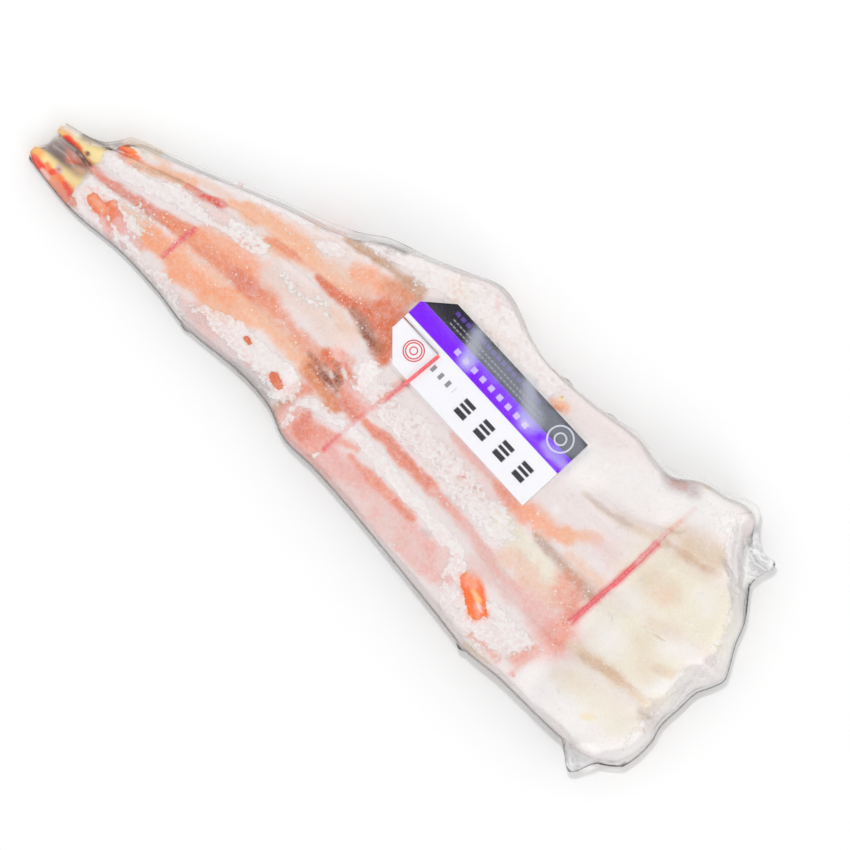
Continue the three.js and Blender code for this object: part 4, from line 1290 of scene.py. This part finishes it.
FILM_STATIONS = 400
FILM_LANES = [44, 40, 40, 44]  # steps across each lane
EDGE_HALF = 0.3               # half the film's thickness at both its ends
END_TAPER = 3                 # length over which it grows to its full height there
RIM_TAPER = 0.05              # share of a lane over which the creases start at the rims
OFF_FLOOR = 0.06              # the film's underside is never lower
UNDER_CREASES = 0.4           # how strong the creases are underneath
OVER_CARD = 0.3               # gap between the card and the film
OVER_CARD_BAND = 1.2          # and how much more over the band on it

LOW_CORNER = 214              # place of the low corner's fin along the pack
LOW_CORNER_LONG = 0.8         # how much distances along the pack count there, as it is longer that way
CLAW_FILLS = (40, 90)         # middle and reach of where the claw arm fills the strip at the high side
UPPER_FIN = (-62, 44)         # middle and reach of the grey fin at the high rim
FIN_WALL = (1, 8)             # heights above the rim over which its haze comes back
FIN_CLEARS = 0.8              # how much of the haze its wall loses

UNDER_HAZE = 0.7              # share of the haze that the underside has, and the very ends
END_HAZE = 0.3

RIM_SHADOW_WIDTH = 1.9              # of the painted dark rim shadow along the low rim and the far end
RIM_SHADOW_AT_END = 1.5             # how many times narrower it is at the far end
RIM_SHADOW_HAZE = 1.6
RIM_SHADOW_HEIGHT = (0.9, 2.6)      # heights above or below the rim over which it fades

# Folds that stand up from the film: path, half width and height.
FILM_FOLDS = [
    ([(196, 79), (206, 63), (216, 51)], 3.5, 0.5),
    ([(204, 73), (211, 69), (216.5, 62.5), (222.5, 52.6)], 1.6, 0.8),
    ([(210, 70), (218, 67), (226, 68)], 1.1, 0.7),
    ([(213, 73), (220, 71), (226, 73)], 1.0, 0.6),
    ([(219, 58), (225, 61), (227.5, 68)], 1.1, 0.7),
    ([(224, 74), (226, 74)], 1.6, 0.8),
    ([(206, 17), (224, 15), (243, 12)], 0.9, 0.35),
    ([(222, 45), (227, 33), (232, 20)], 1.2, 0.3),
    ([(233, 3), (236, -12), (238, -27)], 1.4, 0.5),
    ([(222, -6), (232, -10), (240, -16)], 1.2, 0.4),
    ([(209, -83), (213, -88), (219, -91)], 1.2, 0.6),
    ([(219, -82), (216, -87)], 1.0, 0.5),
    ([(-241, -16), (-232, -15), (-224, -17)], 0.8, 0.2),
    ([(-218, 5), (-212, 12)], 0.9, 0.3),
]
FULL_FOLD = 0.5               # height from which a fold shows as a full white line

# Colours of the hazed film, with painted shade at the tips and along the high strip, and a painted glare tint
# over the card.
FILM_TONES = [
    ("film white", [(236, -60), (240, 0), (232, 40)], 24, 1, 0.4, 2),
    ("film grey", [(208, 80), (226, 68)], 8, 1, 0.5, 2),
    ("film grey", [(204, -84), (222, -90)], 8, 1, 0.5, 1),
    ("film grey", [(233, -6), (237, -22)], 3, 0.4, 0.8, 2),
    # painted shade in the notch between the first two tips
    ("painted shade brown", [(-246, -16), (-222, -16)], 5.6, 1, 0.4, 0.8),
    ("rose", [(-231, -12), (-226, -15)], 2.2, 0.9, 0.6, 2),
    ("pink", [(-228, -12), (-226, -12)], 1.4, 0.9, 0.5, 1),
    ("rose", [(-224, -12), (-218, -11)], 2.2, 0.9, 0.6, 1.6),
    ("tan", [(-221, -18), (-213, -15)], 3, 0.8, 0.7, 1),
    ("beige", [(-211, 15), (-202, 18), (-192, 21)], (4, 2.5), 0.8, 0.6, 0.6),
    # painted shade near the third tip and along the high strip
    ("painted shade brown", [(-230, 0), (-222, 4), (-214, 10)], 2.6, 0.9, 0.6, 0.5),
    ("painted shade brown", [(-77, 63), (-62, 68), (-50, 72)], 4, 1, 0.6, 0.6),
    # painted glare tint over the card's dark field
    ("painted glare blue", [(10, 58), (60, 53), (95, 49)], 10, 0.7, 0.3, 1),
]

# Haze on the film, as values to be laid over the webs' haze: painted glare over the card, painted shade near
# the third tip and on the high strip, haze on the fins and the far end, and a patch over the first band where
# it meets the high rim.
PAINTED_LIGHT_AND_HAZE = [
    # painted glare over the card
    (0.36, [(20, 57), (60, 53), (95, 49)], 7, 1, 0.5, 1.5),
    # haze that carries the painted shade near the third tip and on the high strip
    (0.8, [(-228, 0), (-220, 5), (-214, 11)], 2.6, 1, 0.6, 0.6),
    (0.9, [(-76, 62.5), (-62, 67), (-50, 71.5)], 3.4, 1, 0.7, 0.8),
    # painted glare streaks over the card
    (0.75, [(54, 60), (68, 44)], (4, 6), 1, 0.7, 1),
    (0.45, [(84, 39), (100, 37)], 3, 1, 0.7, 1),
    (0.7, [(13, 62), (19, 46)], 4.5, 1, 0.8, 1),
    (0.3, [(206, 60), (198, 76)], 4, 1, 0.8, 2),
    (0.3, [(236, 0), (238, -26)], 4, 1, 0.8, 2),
    (1, [(-146, 36), (-145, 40)], 2.4, 1, 0.5, 0.5),
]


def film_folds(x, y):
    """1 along the folds' lines, and their height in mm."""
    line, height = np.zeros_like(x), np.zeros_like(x)
    for path, half, rise in FILM_FOLDS:
        near = 1 - smoothstep(path_distance(path, x, y)[0], 0, half)
        line = np.maximum(line, near * clip01(rise / FULL_FOLD))
        height = np.maximum(height, near * rise)
    return line, height


def film_wrinkles(x, y):
    """Height of the film's creases: sharp ones at its fins and far end, faint ones elsewhere."""
    ridges = 1 - 2 * np.abs(crease_noise(x, y, 7))
    small = 1 - 2 * np.abs(crease_noise(y, x, 3.4))
    return crease_zones(x, y) * (0.45 * ridges + 0.25 * small) + 0.08 * fine_noise(x * 0.4, y, 3)


def low_corner(x, y, middle, reach):
    """1 in the middle of the low corner's fin, and 0 from its reach outwards."""
    return bump(np.hypot((x - LOW_CORNER) * LOW_CORNER_LONG, y - middle), 0, reach)


def crease_zones(x, y):
    """1 in the crinkled film at both corner fins, less past the shoulder, and 0 over the ice."""
    past_meat = smoothstep(x - meat_end(y), -6, 4) * smoothstep(x, 196, 204)
    high_fin = lerp(0.3, 1, bump(y, HIGH_CORNER, 26))
    web = smoothstep(y - ice_rim(x), -1, 1) * smoothstep(-x, 40, 60)
    notch = bump(x, -238, 16) * bump(y, -15.5, 6)
    return clip01(past_meat * high_fin + low_corner(x, y, -88, 13) + 0.2 * web + 0.25 * notch)


def film_haze_and_painted_light(x, y):
    """How hazy the film looks where it has no ice under it, with painted glare and painted shade laid over
    it.
    """
    past_meat = smoothstep(x - meat_end(y), -6, 3) * smoothstep(x, 200, 210)
    high_fin = lerp(0.35, 0.85, bump(y, 66, 36))
    strip = smoothstep(y - ice_rim(x), -2.5, 0) * (1 - bump(x, *CLAW_FILLS))
    strip_haze = lerp(0.75, 1.3, smoothstep(x, 90, 120))
    notch = smoothstep(-x, 212, 219) * bump(y, -16, 7)
    webs = past_meat * high_fin + low_corner(x, y, -90, 14) + 1.4 * notch + strip_haze * strip
    return np.maximum(webs, level_of(0, PAINTED_LIGHT_AND_HAZE, x, y))


def painted_rim_shadow(x, y, from_rim):
    """1 along the low rim and the far end, where a dark rim shadow is painted on the film's edge.
    From_rim is the height above or below the rim."""
    to_edge = np.minimum(y - low_rim(x), RIM_SHADOW_AT_END * (shoulder_end(y) - x))
    return (1 - smoothstep(to_edge, RIM_SHADOW_WIDTH / 2, RIM_SHADOW_WIDTH)) * (1 - smoothstep(from_rim, *RIM_SHADOW_HEIGHT))


def over_card(x, y):
    """1 where the film lies over the card, and how much it is raised there."""
    along, across = to_tag(x, y)
    covers = 1 - smoothstep(beyond_tag(along, across), 0, 3)
    over_band = bump(band_distance("band_2", x, y), 0, 4) * smoothstep(SLIT_OFFSET - across, -0.5, 1)
    return covers, covers * (TAG_BED + TAG_THICKNESS + OVER_CARD + OVER_CARD_BAND * over_band)


def film_levels(x, y, folds, inner, ends):
    """Heights of both sides of the film. Inner and ends are 0 at its rims and its ends, and 1 within."""
    mid = mid_level(x)
    covers, raised = over_card(x, y)
    creased = (film_wrinkles(x, y) + folds) * (1 - covers) * inner * ends
    plain = pack_top(x, y) + raised
    top = np.where(ends < 1, lerp(mid + EDGE_HALF, plain, ends), plain) + creased
    top[:, [0, -1]] = mid[:, [0, -1]]
    bottom = lerp(mid - EDGE_HALF, np.maximum(bottom_level(x, y), OFF_FLOOR), ends)
    return top, np.maximum(bottom - UNDER_CREASES * creased * (bottom > 1), OFF_FLOOR)


def film_looks(x, y, above, below, ends):
    """The haze and the colour of both sides of the film, above and below its rim, with a dark rim shadow
    painted into both.
    """
    haze = film_haze_and_painted_light(x, y) * lerp(END_HAZE, 1, ends)
    tone = paint(PALETTE["film white"], FILM_TONES, x, y)
    fin = bump(x, *UPPER_FIN)
    top_haze = haze * (1 - FIN_CLEARS * fin * (1 - smoothstep(above, *FIN_WALL)))
    under_haze = UNDER_HAZE * haze * (1 - fin)
    # painted rim shadow: darkens the haze and the tone along the low rim and the far end
    rim_shadows = painted_rim_shadow(x, y, above), painted_rim_shadow(x, y, below)
    webs = tuple(np.maximum(side, RIM_SHADOW_HAZE * rim_shadow) for side, rim_shadow in zip((top_haze, under_haze), rim_shadows))
    return webs, tuple(lerp(tone, PALETTE["painted rim shadow grey"], rim_shadow[..., None]) for rim_shadow in rim_shadows)


def film_piece():
    stations = np.linspace(LEFT, RIGHT, FILM_STATIONS)
    positions = lane_positions(FILM_LANES)
    x, y = plan(film_lines, stations, positions)
    inner = smoothstep(np.minimum(positions, 4 - positions), 0, RIM_TAPER)[None]
    ends = smoothstep(np.minimum(stations - LEFT, RIGHT - stations), 0, END_TAPER)[:, None]
    line, folds = film_folds(x, y)
    top, bottom = film_levels(x, y, folds, inner, ends)
    webs, tones = film_looks(x, y, top - mid_level(x), mid_level(x) - bottom, ends)
    attributes = {"web": webs, "tone": tones, "crease": (crease_zones(x, y),) * 2, "line": (line, line * 0)}
    return closed_shell("film_skin", x, y, top, bottom, attributes)


# ---------------------------------------------------------------- ice

ICE_START = -217              # where the ice starts in the second leg
ICE_SPAN = (-214, 230)        # its first and last nominal stations
ICE_STATIONS = 384
ICE_LANES = [44, 44, 44, 44]
ICE_ENDS = (7, 2.5)           # lengths over which it rounds off at its start and its end
ICE_LUMPS = 0.18              # height of the lumps in thick frost
SHOULDER_SINK = 0.35          # how much deeper the ice lies in the shoulder, and where that grows
SHOULDER_SINKS = (140, 175)
CLEAR_CRUST = (0.02, 0.15)    # amounts of frost over which the ice comes up out of its windows
THICK_CRUST = (0.4, 0.7)      # amounts of frost over which its lumps grow to their full height
ICE_OFF_FLOOR = 0.7           # the ice's underside is never lower
DEEPER = 1.3                  # power that deepens a tone where the ice is clearer
VEILED = 0.35                 # share of the ice's tone in its frost

# Stretches of the bands that show: band, from, to, how far the frost is off them, and how pale they are.
BANDS_SHOWN = [
    ("band_2", -3, 20, 0.9, 0.25), ("band_3", -28, 24, 1, 0.1), ("band_3", 24, 42, 0.9, 0.4),
    ("band_3", 42, 48, 0.6, 0.7)]
BAND_BARED = 1.8              # half width over which the frost is off
FROSTED_PALENESS = 1.4        # how pale a band is where frost hides it


def ice_start(y):
    """Where the ice starts at the tips: a little later in the first leg, and much later in the third."""
    first_leg = 3 * smoothstep(-y, 24, 36)
    third_leg = 14 * smoothstep(y, 2, 9)
    return ICE_START + first_leg + third_leg + 1.2 * coarse_noise(y, y, 4)


def along_band(name, low, high):
    """Points along a band's line between two distances across the pack."""
    at, lean = BANDS[name]
    return [(at + lean * y, y) for y in np.linspace(low, high, 4)]


def bare_bands(level, x, y):
    """Lowers a level over the bands where they show."""
    for name, low, high, share, _ in BANDS_SHOWN:
        stroke = (0, along_band(name, low, high), BAND_BARED, share, 0.6, 0.3)
        level = lerp(level, 0, coverage(stroke, x, y))
    return level


def stretch(y, low, high, outside, within):
    """1 between two places across the pack, fading out over the given lengths outside and within."""
    rises = smoothstep(y, low - outside, low + within)
    return rises * smoothstep(-y, -high - outside, -high + within)


def band_showing(name, y):
    """How far a band lies bare at each point along it, from 0 in the ice to 1 at its surface."""
    showing = 0 * y
    for shown, low, high, _, _ in BANDS_SHOWN:
        if shown == name:
            showing = np.maximum(showing, stretch(y, low, high, 2, 1))
    return showing


def band_paleness(name, y):
    """How pale a band looks under the frost at each point along it."""
    pale = FROSTED_PALENESS + 0 * y
    for shown, low, high, _, paleness in BANDS_SHOWN:
        if shown == name:
            pale = lerp(pale, paleness, stretch(y, low, high, 4, 4))
    return pale


def ice_levels(x, y, stations, crust):
    """Heights of both sides of the ice: sunk in its windows, lumpy in thick frost, round at its ends."""
    mid = mid_level(x)
    near_start = clip01(1 - (stations - stations[0]) / ICE_ENDS[0])[:, None]
    near_end = clip01(1 - (stations[-1] - stations) / ICE_ENDS[1])[:, None]
    rounding = rounded(1 - near_start**END_POWER - near_end**END_POWER)
    sink = WINDOW_SINK * (1 - smoothstep(crust, *CLEAR_CRUST))
    lumps = ICE_LUMPS * coarse_noise(x, y, 4) * smoothstep(crust, *THICK_CRUST)
    surface = pack_top(x, y) - ICE_BELOW_FILM - SHOULDER_SINK * smoothstep(x, *SHOULDER_SINKS)
    top = mid + (surface - sink + lumps - mid) * rounding
    top[:, [0, -1]] = mid[:, [0, -1]]
    under = np.maximum(bottom_level(x, y) + ICE_BELOW_FILM, ICE_OFF_FLOOR)
    return top, mid + (under - mid) * rounding


def ice_looks(x, y, crust):
    """The ice's point attributes, each for its upper side and its underside."""
    tone = paint(PALETTE["frost"], ICE_TONES, x, y)
    tinted = clip01(0.5 + coarse_noise(x, y, 22))[..., None]
    under_tone = lerp(PALETTE["frost"], PALETTE["pale peach"], tinted)
    veil = lerp(paint(PALETTE["frost"], FROST_TONES, x, y), tone, VEILED)
    return {
        "crust": (crust, clip01(0.62 + 0.35 * coarse_noise(x + 40, y, 16))),
        "bubbles": (level_of(0.05, ICE_BUBBLES, x, y), np.full_like(crust, 0.15)),
        "crackle": (level_of(0.4, ICE_CRACKLE, x, y), np.full_like(crust, 0.4)),
        "tone": (tone, under_tone),
        "veil": (veil, np.ones_like(tone) * PALETTE["frost"]),
        "under": (tone ** DEEPER, under_tone ** DEEPER)}


def ice_piece():
    stations = np.linspace(*ICE_SPAN, ICE_STATIONS)
    x, y = plan(ice_lines, stations, lane_positions(ICE_LANES), ice_start, ice_end)
    crust = bare_bands(level_of(0.15, ICE_CRUST, x, y), x, y)
    return closed_shell("ice_glaze", x, y, *ice_levels(x, y, stations, crust), ice_looks(x, y, crust))


# ---------------------------------------------------------------- limbs and shoulder

LIMB_STATIONS = 220
LIMB_STEPS = 64               # points round a limb
LIMB_TIP_GAP = 0.9            # how far the shell starts from its lane's end
TIPWARD = 1.3                 # power that draws the stations closer together at the tip
SIDE_GAPS = (0.6, 2.8)        # gap to each side of its lane, at the tip and along the leg
SIDE_GAP_GROWS = (-215, -200)  # where it changes from one to the other
DEEPER_BY = 2                 # how much deeper the shell lies towards the shoulder, and where
DEEPENS = (120, 165)
SHELL_UNDERSIDE = 1.3         # depth below its widest level, as a share of that level
SHELL_OFF_BOTTOM = 1.4        # how far it stays above the film's underside
SQUARISH = 0.9                # power that makes its section a little squarer than an ellipse
SPINE_LIMIT = 0.9             # the highest that spines lift the shell
LIMB_OVERRUN = 8              # how far a limb runs on into the shoulder

MEAT_END = 222                # nominal station where the meat ends
MEAT_ENDS = 9                 # length over which it rounds off there
MEAT_SHORT = 5                # how far it stays inside the end of the limbs' form
MEAT_SIDES = 0.3              # share of a lane over which its sides are rounded

# Spines and knuckles on the shell: place, half width and height.
SPINES = [((-228, -24), 3, 1), ((-219, -15), 4, 1.4), ((-205, 9), 4, 1), ((-146, 22), 4, 1.1),
          ((-83, -27), 4, 0.8), ((-55, -34), 4, 0.8), ((106, -52), 6, 0.7), ((-190, -25), 5, 0.7)]


def limb_rings(limb):
    """Rings round a limb, a little inside its lane, from its tip to inside the shoulder."""
    start, end = limb.tip + LIMB_TIP_GAP, SHOULDER_START + LIMB_OVERRUN
    stations = start + (end - start) * np.linspace(0, 1, LIMB_STATIONS) ** TIPWARD
    angle = np.linspace(0, 2 * np.pi, LIMB_STEPS, endpoint=False)
    x = np.repeat(stations[:, None], LIMB_STEPS, 1)
    low, high, mid = limb.low(x), limb.high(x), mid_level(x)
    half = (high - low) / 2 - lerp(*SIDE_GAPS, smoothstep(x, *SIDE_GAP_GROWS))
    closing = rounded(1 - limb.tip_rounding(x + 0.3))
    y = (low + high) / 2 - np.cos(angle)[None] * half * closing
    share = np.abs(np.sin(angle)) ** SQUARISH
    crest = np.maximum(limb.crest(x) - mid - limb.joint_dip(x) - SHELL_BELOW_FILM, 1) * closing
    depth = np.maximum(SHELL_UNDERSIDE * mid, 1) * closing
    below_film = SHELL_BELOW_FILM + DEEPER_BY * smoothstep(x, *DEEPENS)
    upper = np.minimum(mid + crest * share, top_level(x, y) - below_film)
    lower = np.maximum(mid - depth * share, bottom_level(x, y) + SHELL_OFF_BOTTOM)
    return np.stack([x, y, np.where(np.sin(angle)[None] >= 0, upper, lower)], -1)


def limb_piece(name):
    rings = limb_rings(LIMBS[name])
    x, y = rings[..., 0], rings[..., 1]
    lift = sum(height * mound(x, y, middle, half) for middle, half, height in SPINES)
    rings[..., 2] += np.minimum(lift, SPINE_LIMIT) * (rings[..., 2] > mid_level(x))
    plain = lerp(PALETTE["deep orange"], PALETTE["pink"], smoothstep(x, -40, 60)[..., None])
    tone = paint(plain, SHELL_TONES, x, y)
    under = lerp(tone, PALETTE["cream"], 0.2)
    return ring_tube(name, rings, {"tone": tone.reshape(-1, 3), "under": under.reshape(-1, 3)})


def shoulder_piece():
    stations = np.linspace(SHOULDER_START, MEAT_END, 90)
    positions = lane_positions([24, 24, 24, 24])
    x, y = plan(ice_lines, stations, positions, lambda y: SHOULDER_START + 0 * y,
                lambda y: meat_end(y) - MEAT_SHORT)
    mid = mid_level(x)
    near_end = clip01(1 - (stations[-1] - stations) / MEAT_ENDS)[:, None]
    inner = smoothstep(np.minimum(positions, 4 - positions), 0, MEAT_SIDES)[None]
    fullness = rounded(1 - near_end**END_POWER) * inner
    top = mid + (top_level(x, y) - MEAT_BELOW_FILM - mid) * fullness
    bottom = mid + (bottom_level(x, y) + MEAT_BELOW_FILM - mid) * fullness
    return closed_shell("shoulder_meat", x, y, top, bottom, {})


# ---------------------------------------------------------------- bands

BAND_LANES = [40, 40, 40, 40]
BAND_STEPS = 12               # points round a band's section
BAND_CORNERS = 0.5            # power that makes its section a square with round corners
BAND_OVER_CARD = 0.25         # gap between the card and a band over it
BAND_OFF_FLOOR = 0.7          # no point of a band is lower
UNDER_PALENESS = 1.3          # how pale a band is underneath
OUTWARD_PASSES = 3            # of smoothing the way out of the pack


def unit(vectors):
    return vectors / np.linalg.norm(vectors, axis=1)[:, None]


def band_loop(name):
    """Points round the pack where a band lies, how far it lies above them, and how pale it is."""
    x, y = plan(film_lines, np.array([LEFT, BANDS[name][0], RIGHT]), lane_positions(BAND_LANES))
    x, y = x[1], y[1]
    top, bottom = top_level(x, y), bottom_level(x, y)
    top[[0, -1]] = mid_level(x)[[0, -1]]
    along, across = to_tag(x, y)
    below_slit = smoothstep(SLIT_OFFSET - across, -0.6, 0.4)
    over = (1 - smoothstep(beyond_tag(along, across), 0.5, 4)) * below_slit
    sunk = lerp(-BAND_SUNK, -BAND_SHOWN, band_showing(name, y))
    lift = lerp(sunk, TAG_BED + TAG_THICKNESS + BAND_OVER_CARD + BAND_THICKNESS, over)
    loop = np.concatenate([np.stack([x, y, top], -1), np.stack([x, y, bottom], -1)[1:-1][::-1]])
    below = len(loop) - len(x)
    lifts = np.concatenate([lift, np.full(below, -BAND_SUNK)])
    return loop, lifts, np.concatenate([band_paleness(name, y) * (1 - over), np.full(below, UNDER_PALENESS)])


def band_ways(loop):
    """The way out of the pack and the way across the band, at each point of its loop."""
    tangent = unit(np.roll(loop, -1, 0) - np.roll(loop, 1, 0))
    outward = np.cross(tangent, [1, 0, 0])
    outward = unit(outward * np.sign(outward[len(loop) // 4, 2]))
    for _ in range(OUTWARD_PASSES):
        outward = unit(np.roll(outward, 1, 0) + 2 * outward + np.roll(outward, -1, 0))
    return outward, np.cross(outward, tangent)


def square_wave(wave):
    return np.sign(wave) * np.abs(wave) ** BAND_CORNERS


def band_piece(name):
    """A band round the pack: under the frost, over the card's low side and through its slit."""
    loop, lifts, veil = band_loop(name)
    outward, sideways = band_ways(loop)
    angle = np.linspace(0, 2 * np.pi, BAND_STEPS, endpoint=False)
    wide = square_wave(np.cos(angle)) * BAND_WIDTH / 2
    thick = square_wave(np.sin(angle)) * BAND_THICKNESS / 2
    centre = loop + outward * (lifts - BAND_THICKNESS / 2)[:, None]
    rings = centre[:, None] + sideways[:, None] * wide[:, None] + outward[:, None] * thick[:, None]
    rings[..., 2] = np.maximum(rings[..., 2], BAND_OFF_FLOOR)
    return ring_tube(name + "_rubber", rings, {"veil": np.repeat(veil, BAND_STEPS)}, closed=True)


# ---------------------------------------------------------------- assembly


def dress(piece, material, node):
    piece.data.materials.append(material)
    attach(piece, "root")
    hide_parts(node)


def build():
    dress(film_piece(), film_material(), "bag")
    dress(ice_piece(), ice_material(), "bag")
    shell = shell_material()
    for name in LIMBS:
        dress(limb_piece(name), shell, "bag")
    dress(shoulder_piece(), meat_material(), "bag")
    rubber = band_material()
    for name in BANDS:
        dress(band_piece(name), rubber, name)
    dress(tag_piece(), card_material(), "label")


# ---------------------------------------------------------------- studio

CAMERA_AIM = (24.8, 3.0, 15.0)
CAMERA_TURN = np.radians(41)
CAMERA_HEIGHT = 2500          # above what it aims at
FRAME_WIDTH = 485.35          # what its picture spans there
SENSOR = 36
AIR_AT_HORIZON = 1.44         # strength of the studio's light
AIR_OVERHEAD = 0.66
FLOOR_HALF = 3000
FLOOR_LEVEL = -0.2

# Lights, in metres and watts: distance away, height, bearing from the photo's right in degrees,
# size, power, and whether glossy faces mirror them.
SOFTBOXES = {
    "key": (0.4, 1.9, 100, 0.12, 11.5, False),
    "fill": (1.5, 1.0, -60, 0.8, 4.5, False),
    "glint": (0.35, 1.6, 60, 0.12, 0.8, True),
}


def add_camera():
    data = bpy.data.cameras.new("photo_camera")
    data.sensor_width = SENSOR
    data.lens = SENSOR * CAMERA_HEIGHT / FRAME_WIDTH
    data.clip_start, data.clip_end = 0.05, 20
    camera = bpy.data.objects.new("photo_camera", data)
    camera.location = [c * MM for c in (CAMERA_AIM[0], CAMERA_AIM[1], CAMERA_AIM[2] + CAMERA_HEIGHT)]
    camera.rotation_euler = (0, 0, CAMERA_TURN)
    bpy.context.scene.collection.objects.link(camera)
    bpy.context.scene.camera = camera


def add_softbox(name, away, height, turn, size, power, glossy):
    """A square area light aimed at the pack."""
    bearing = CAMERA_TURN + np.radians(turn)
    data = bpy.data.lights.new(name, "AREA")
    data.size, data.energy = size, power
    light = bpy.data.objects.new(name, data)
    light.location = (away * np.cos(bearing), away * np.sin(bearing), height)
    light.rotation_euler = (0, np.arctan2(away, height), bearing)
    light.visible_glossy = glossy
    bpy.context.scene.collection.objects.link(light)


def studio_air():
    """White light from all round, stronger from low down, as from the walls of a light tent."""
    world = bpy.data.worlds.new("studio_air")
    world.use_nodes = True
    tree = world.node_tree
    direction = tree.nodes.new("ShaderNodeTexCoord").outputs["Generated"]
    upward = tree.nodes.new("ShaderNodeSeparateXYZ")
    tree.links.new(direction, upward.inputs[0])
    strength = tree.nodes.new("ShaderNodeMapRange")
    strength.inputs["To Min"].default_value = AIR_AT_HORIZON
    strength.inputs["To Max"].default_value = AIR_OVERHEAD
    tree.links.new(upward.outputs["Z"], strength.inputs["Value"])
    background = tree.nodes["Background"]
    background.inputs["Color"].default_value = (1, 1, 1, 1)
    tree.links.new(strength.outputs["Result"], background.inputs["Strength"])
    return world


def add_studio():
    corners = [(FLOOR_HALF * x, FLOOR_HALF * y, FLOOR_LEVEL) for x, y in ((-1, -1), (1, -1), (1, 1), (-1, 1))]
    floor = mesh_object("floor", corners, [[0, 1, 2, 3]])
    floor.data.materials.append(floor_material())
    for name, settings in SOFTBOXES.items():
        add_softbox(name, *settings)
    bpy.context.scene.world = studio_air()
    bpy.context.scene.view_settings.view_transform = "Standard"


build()
add_camera()
add_studio()
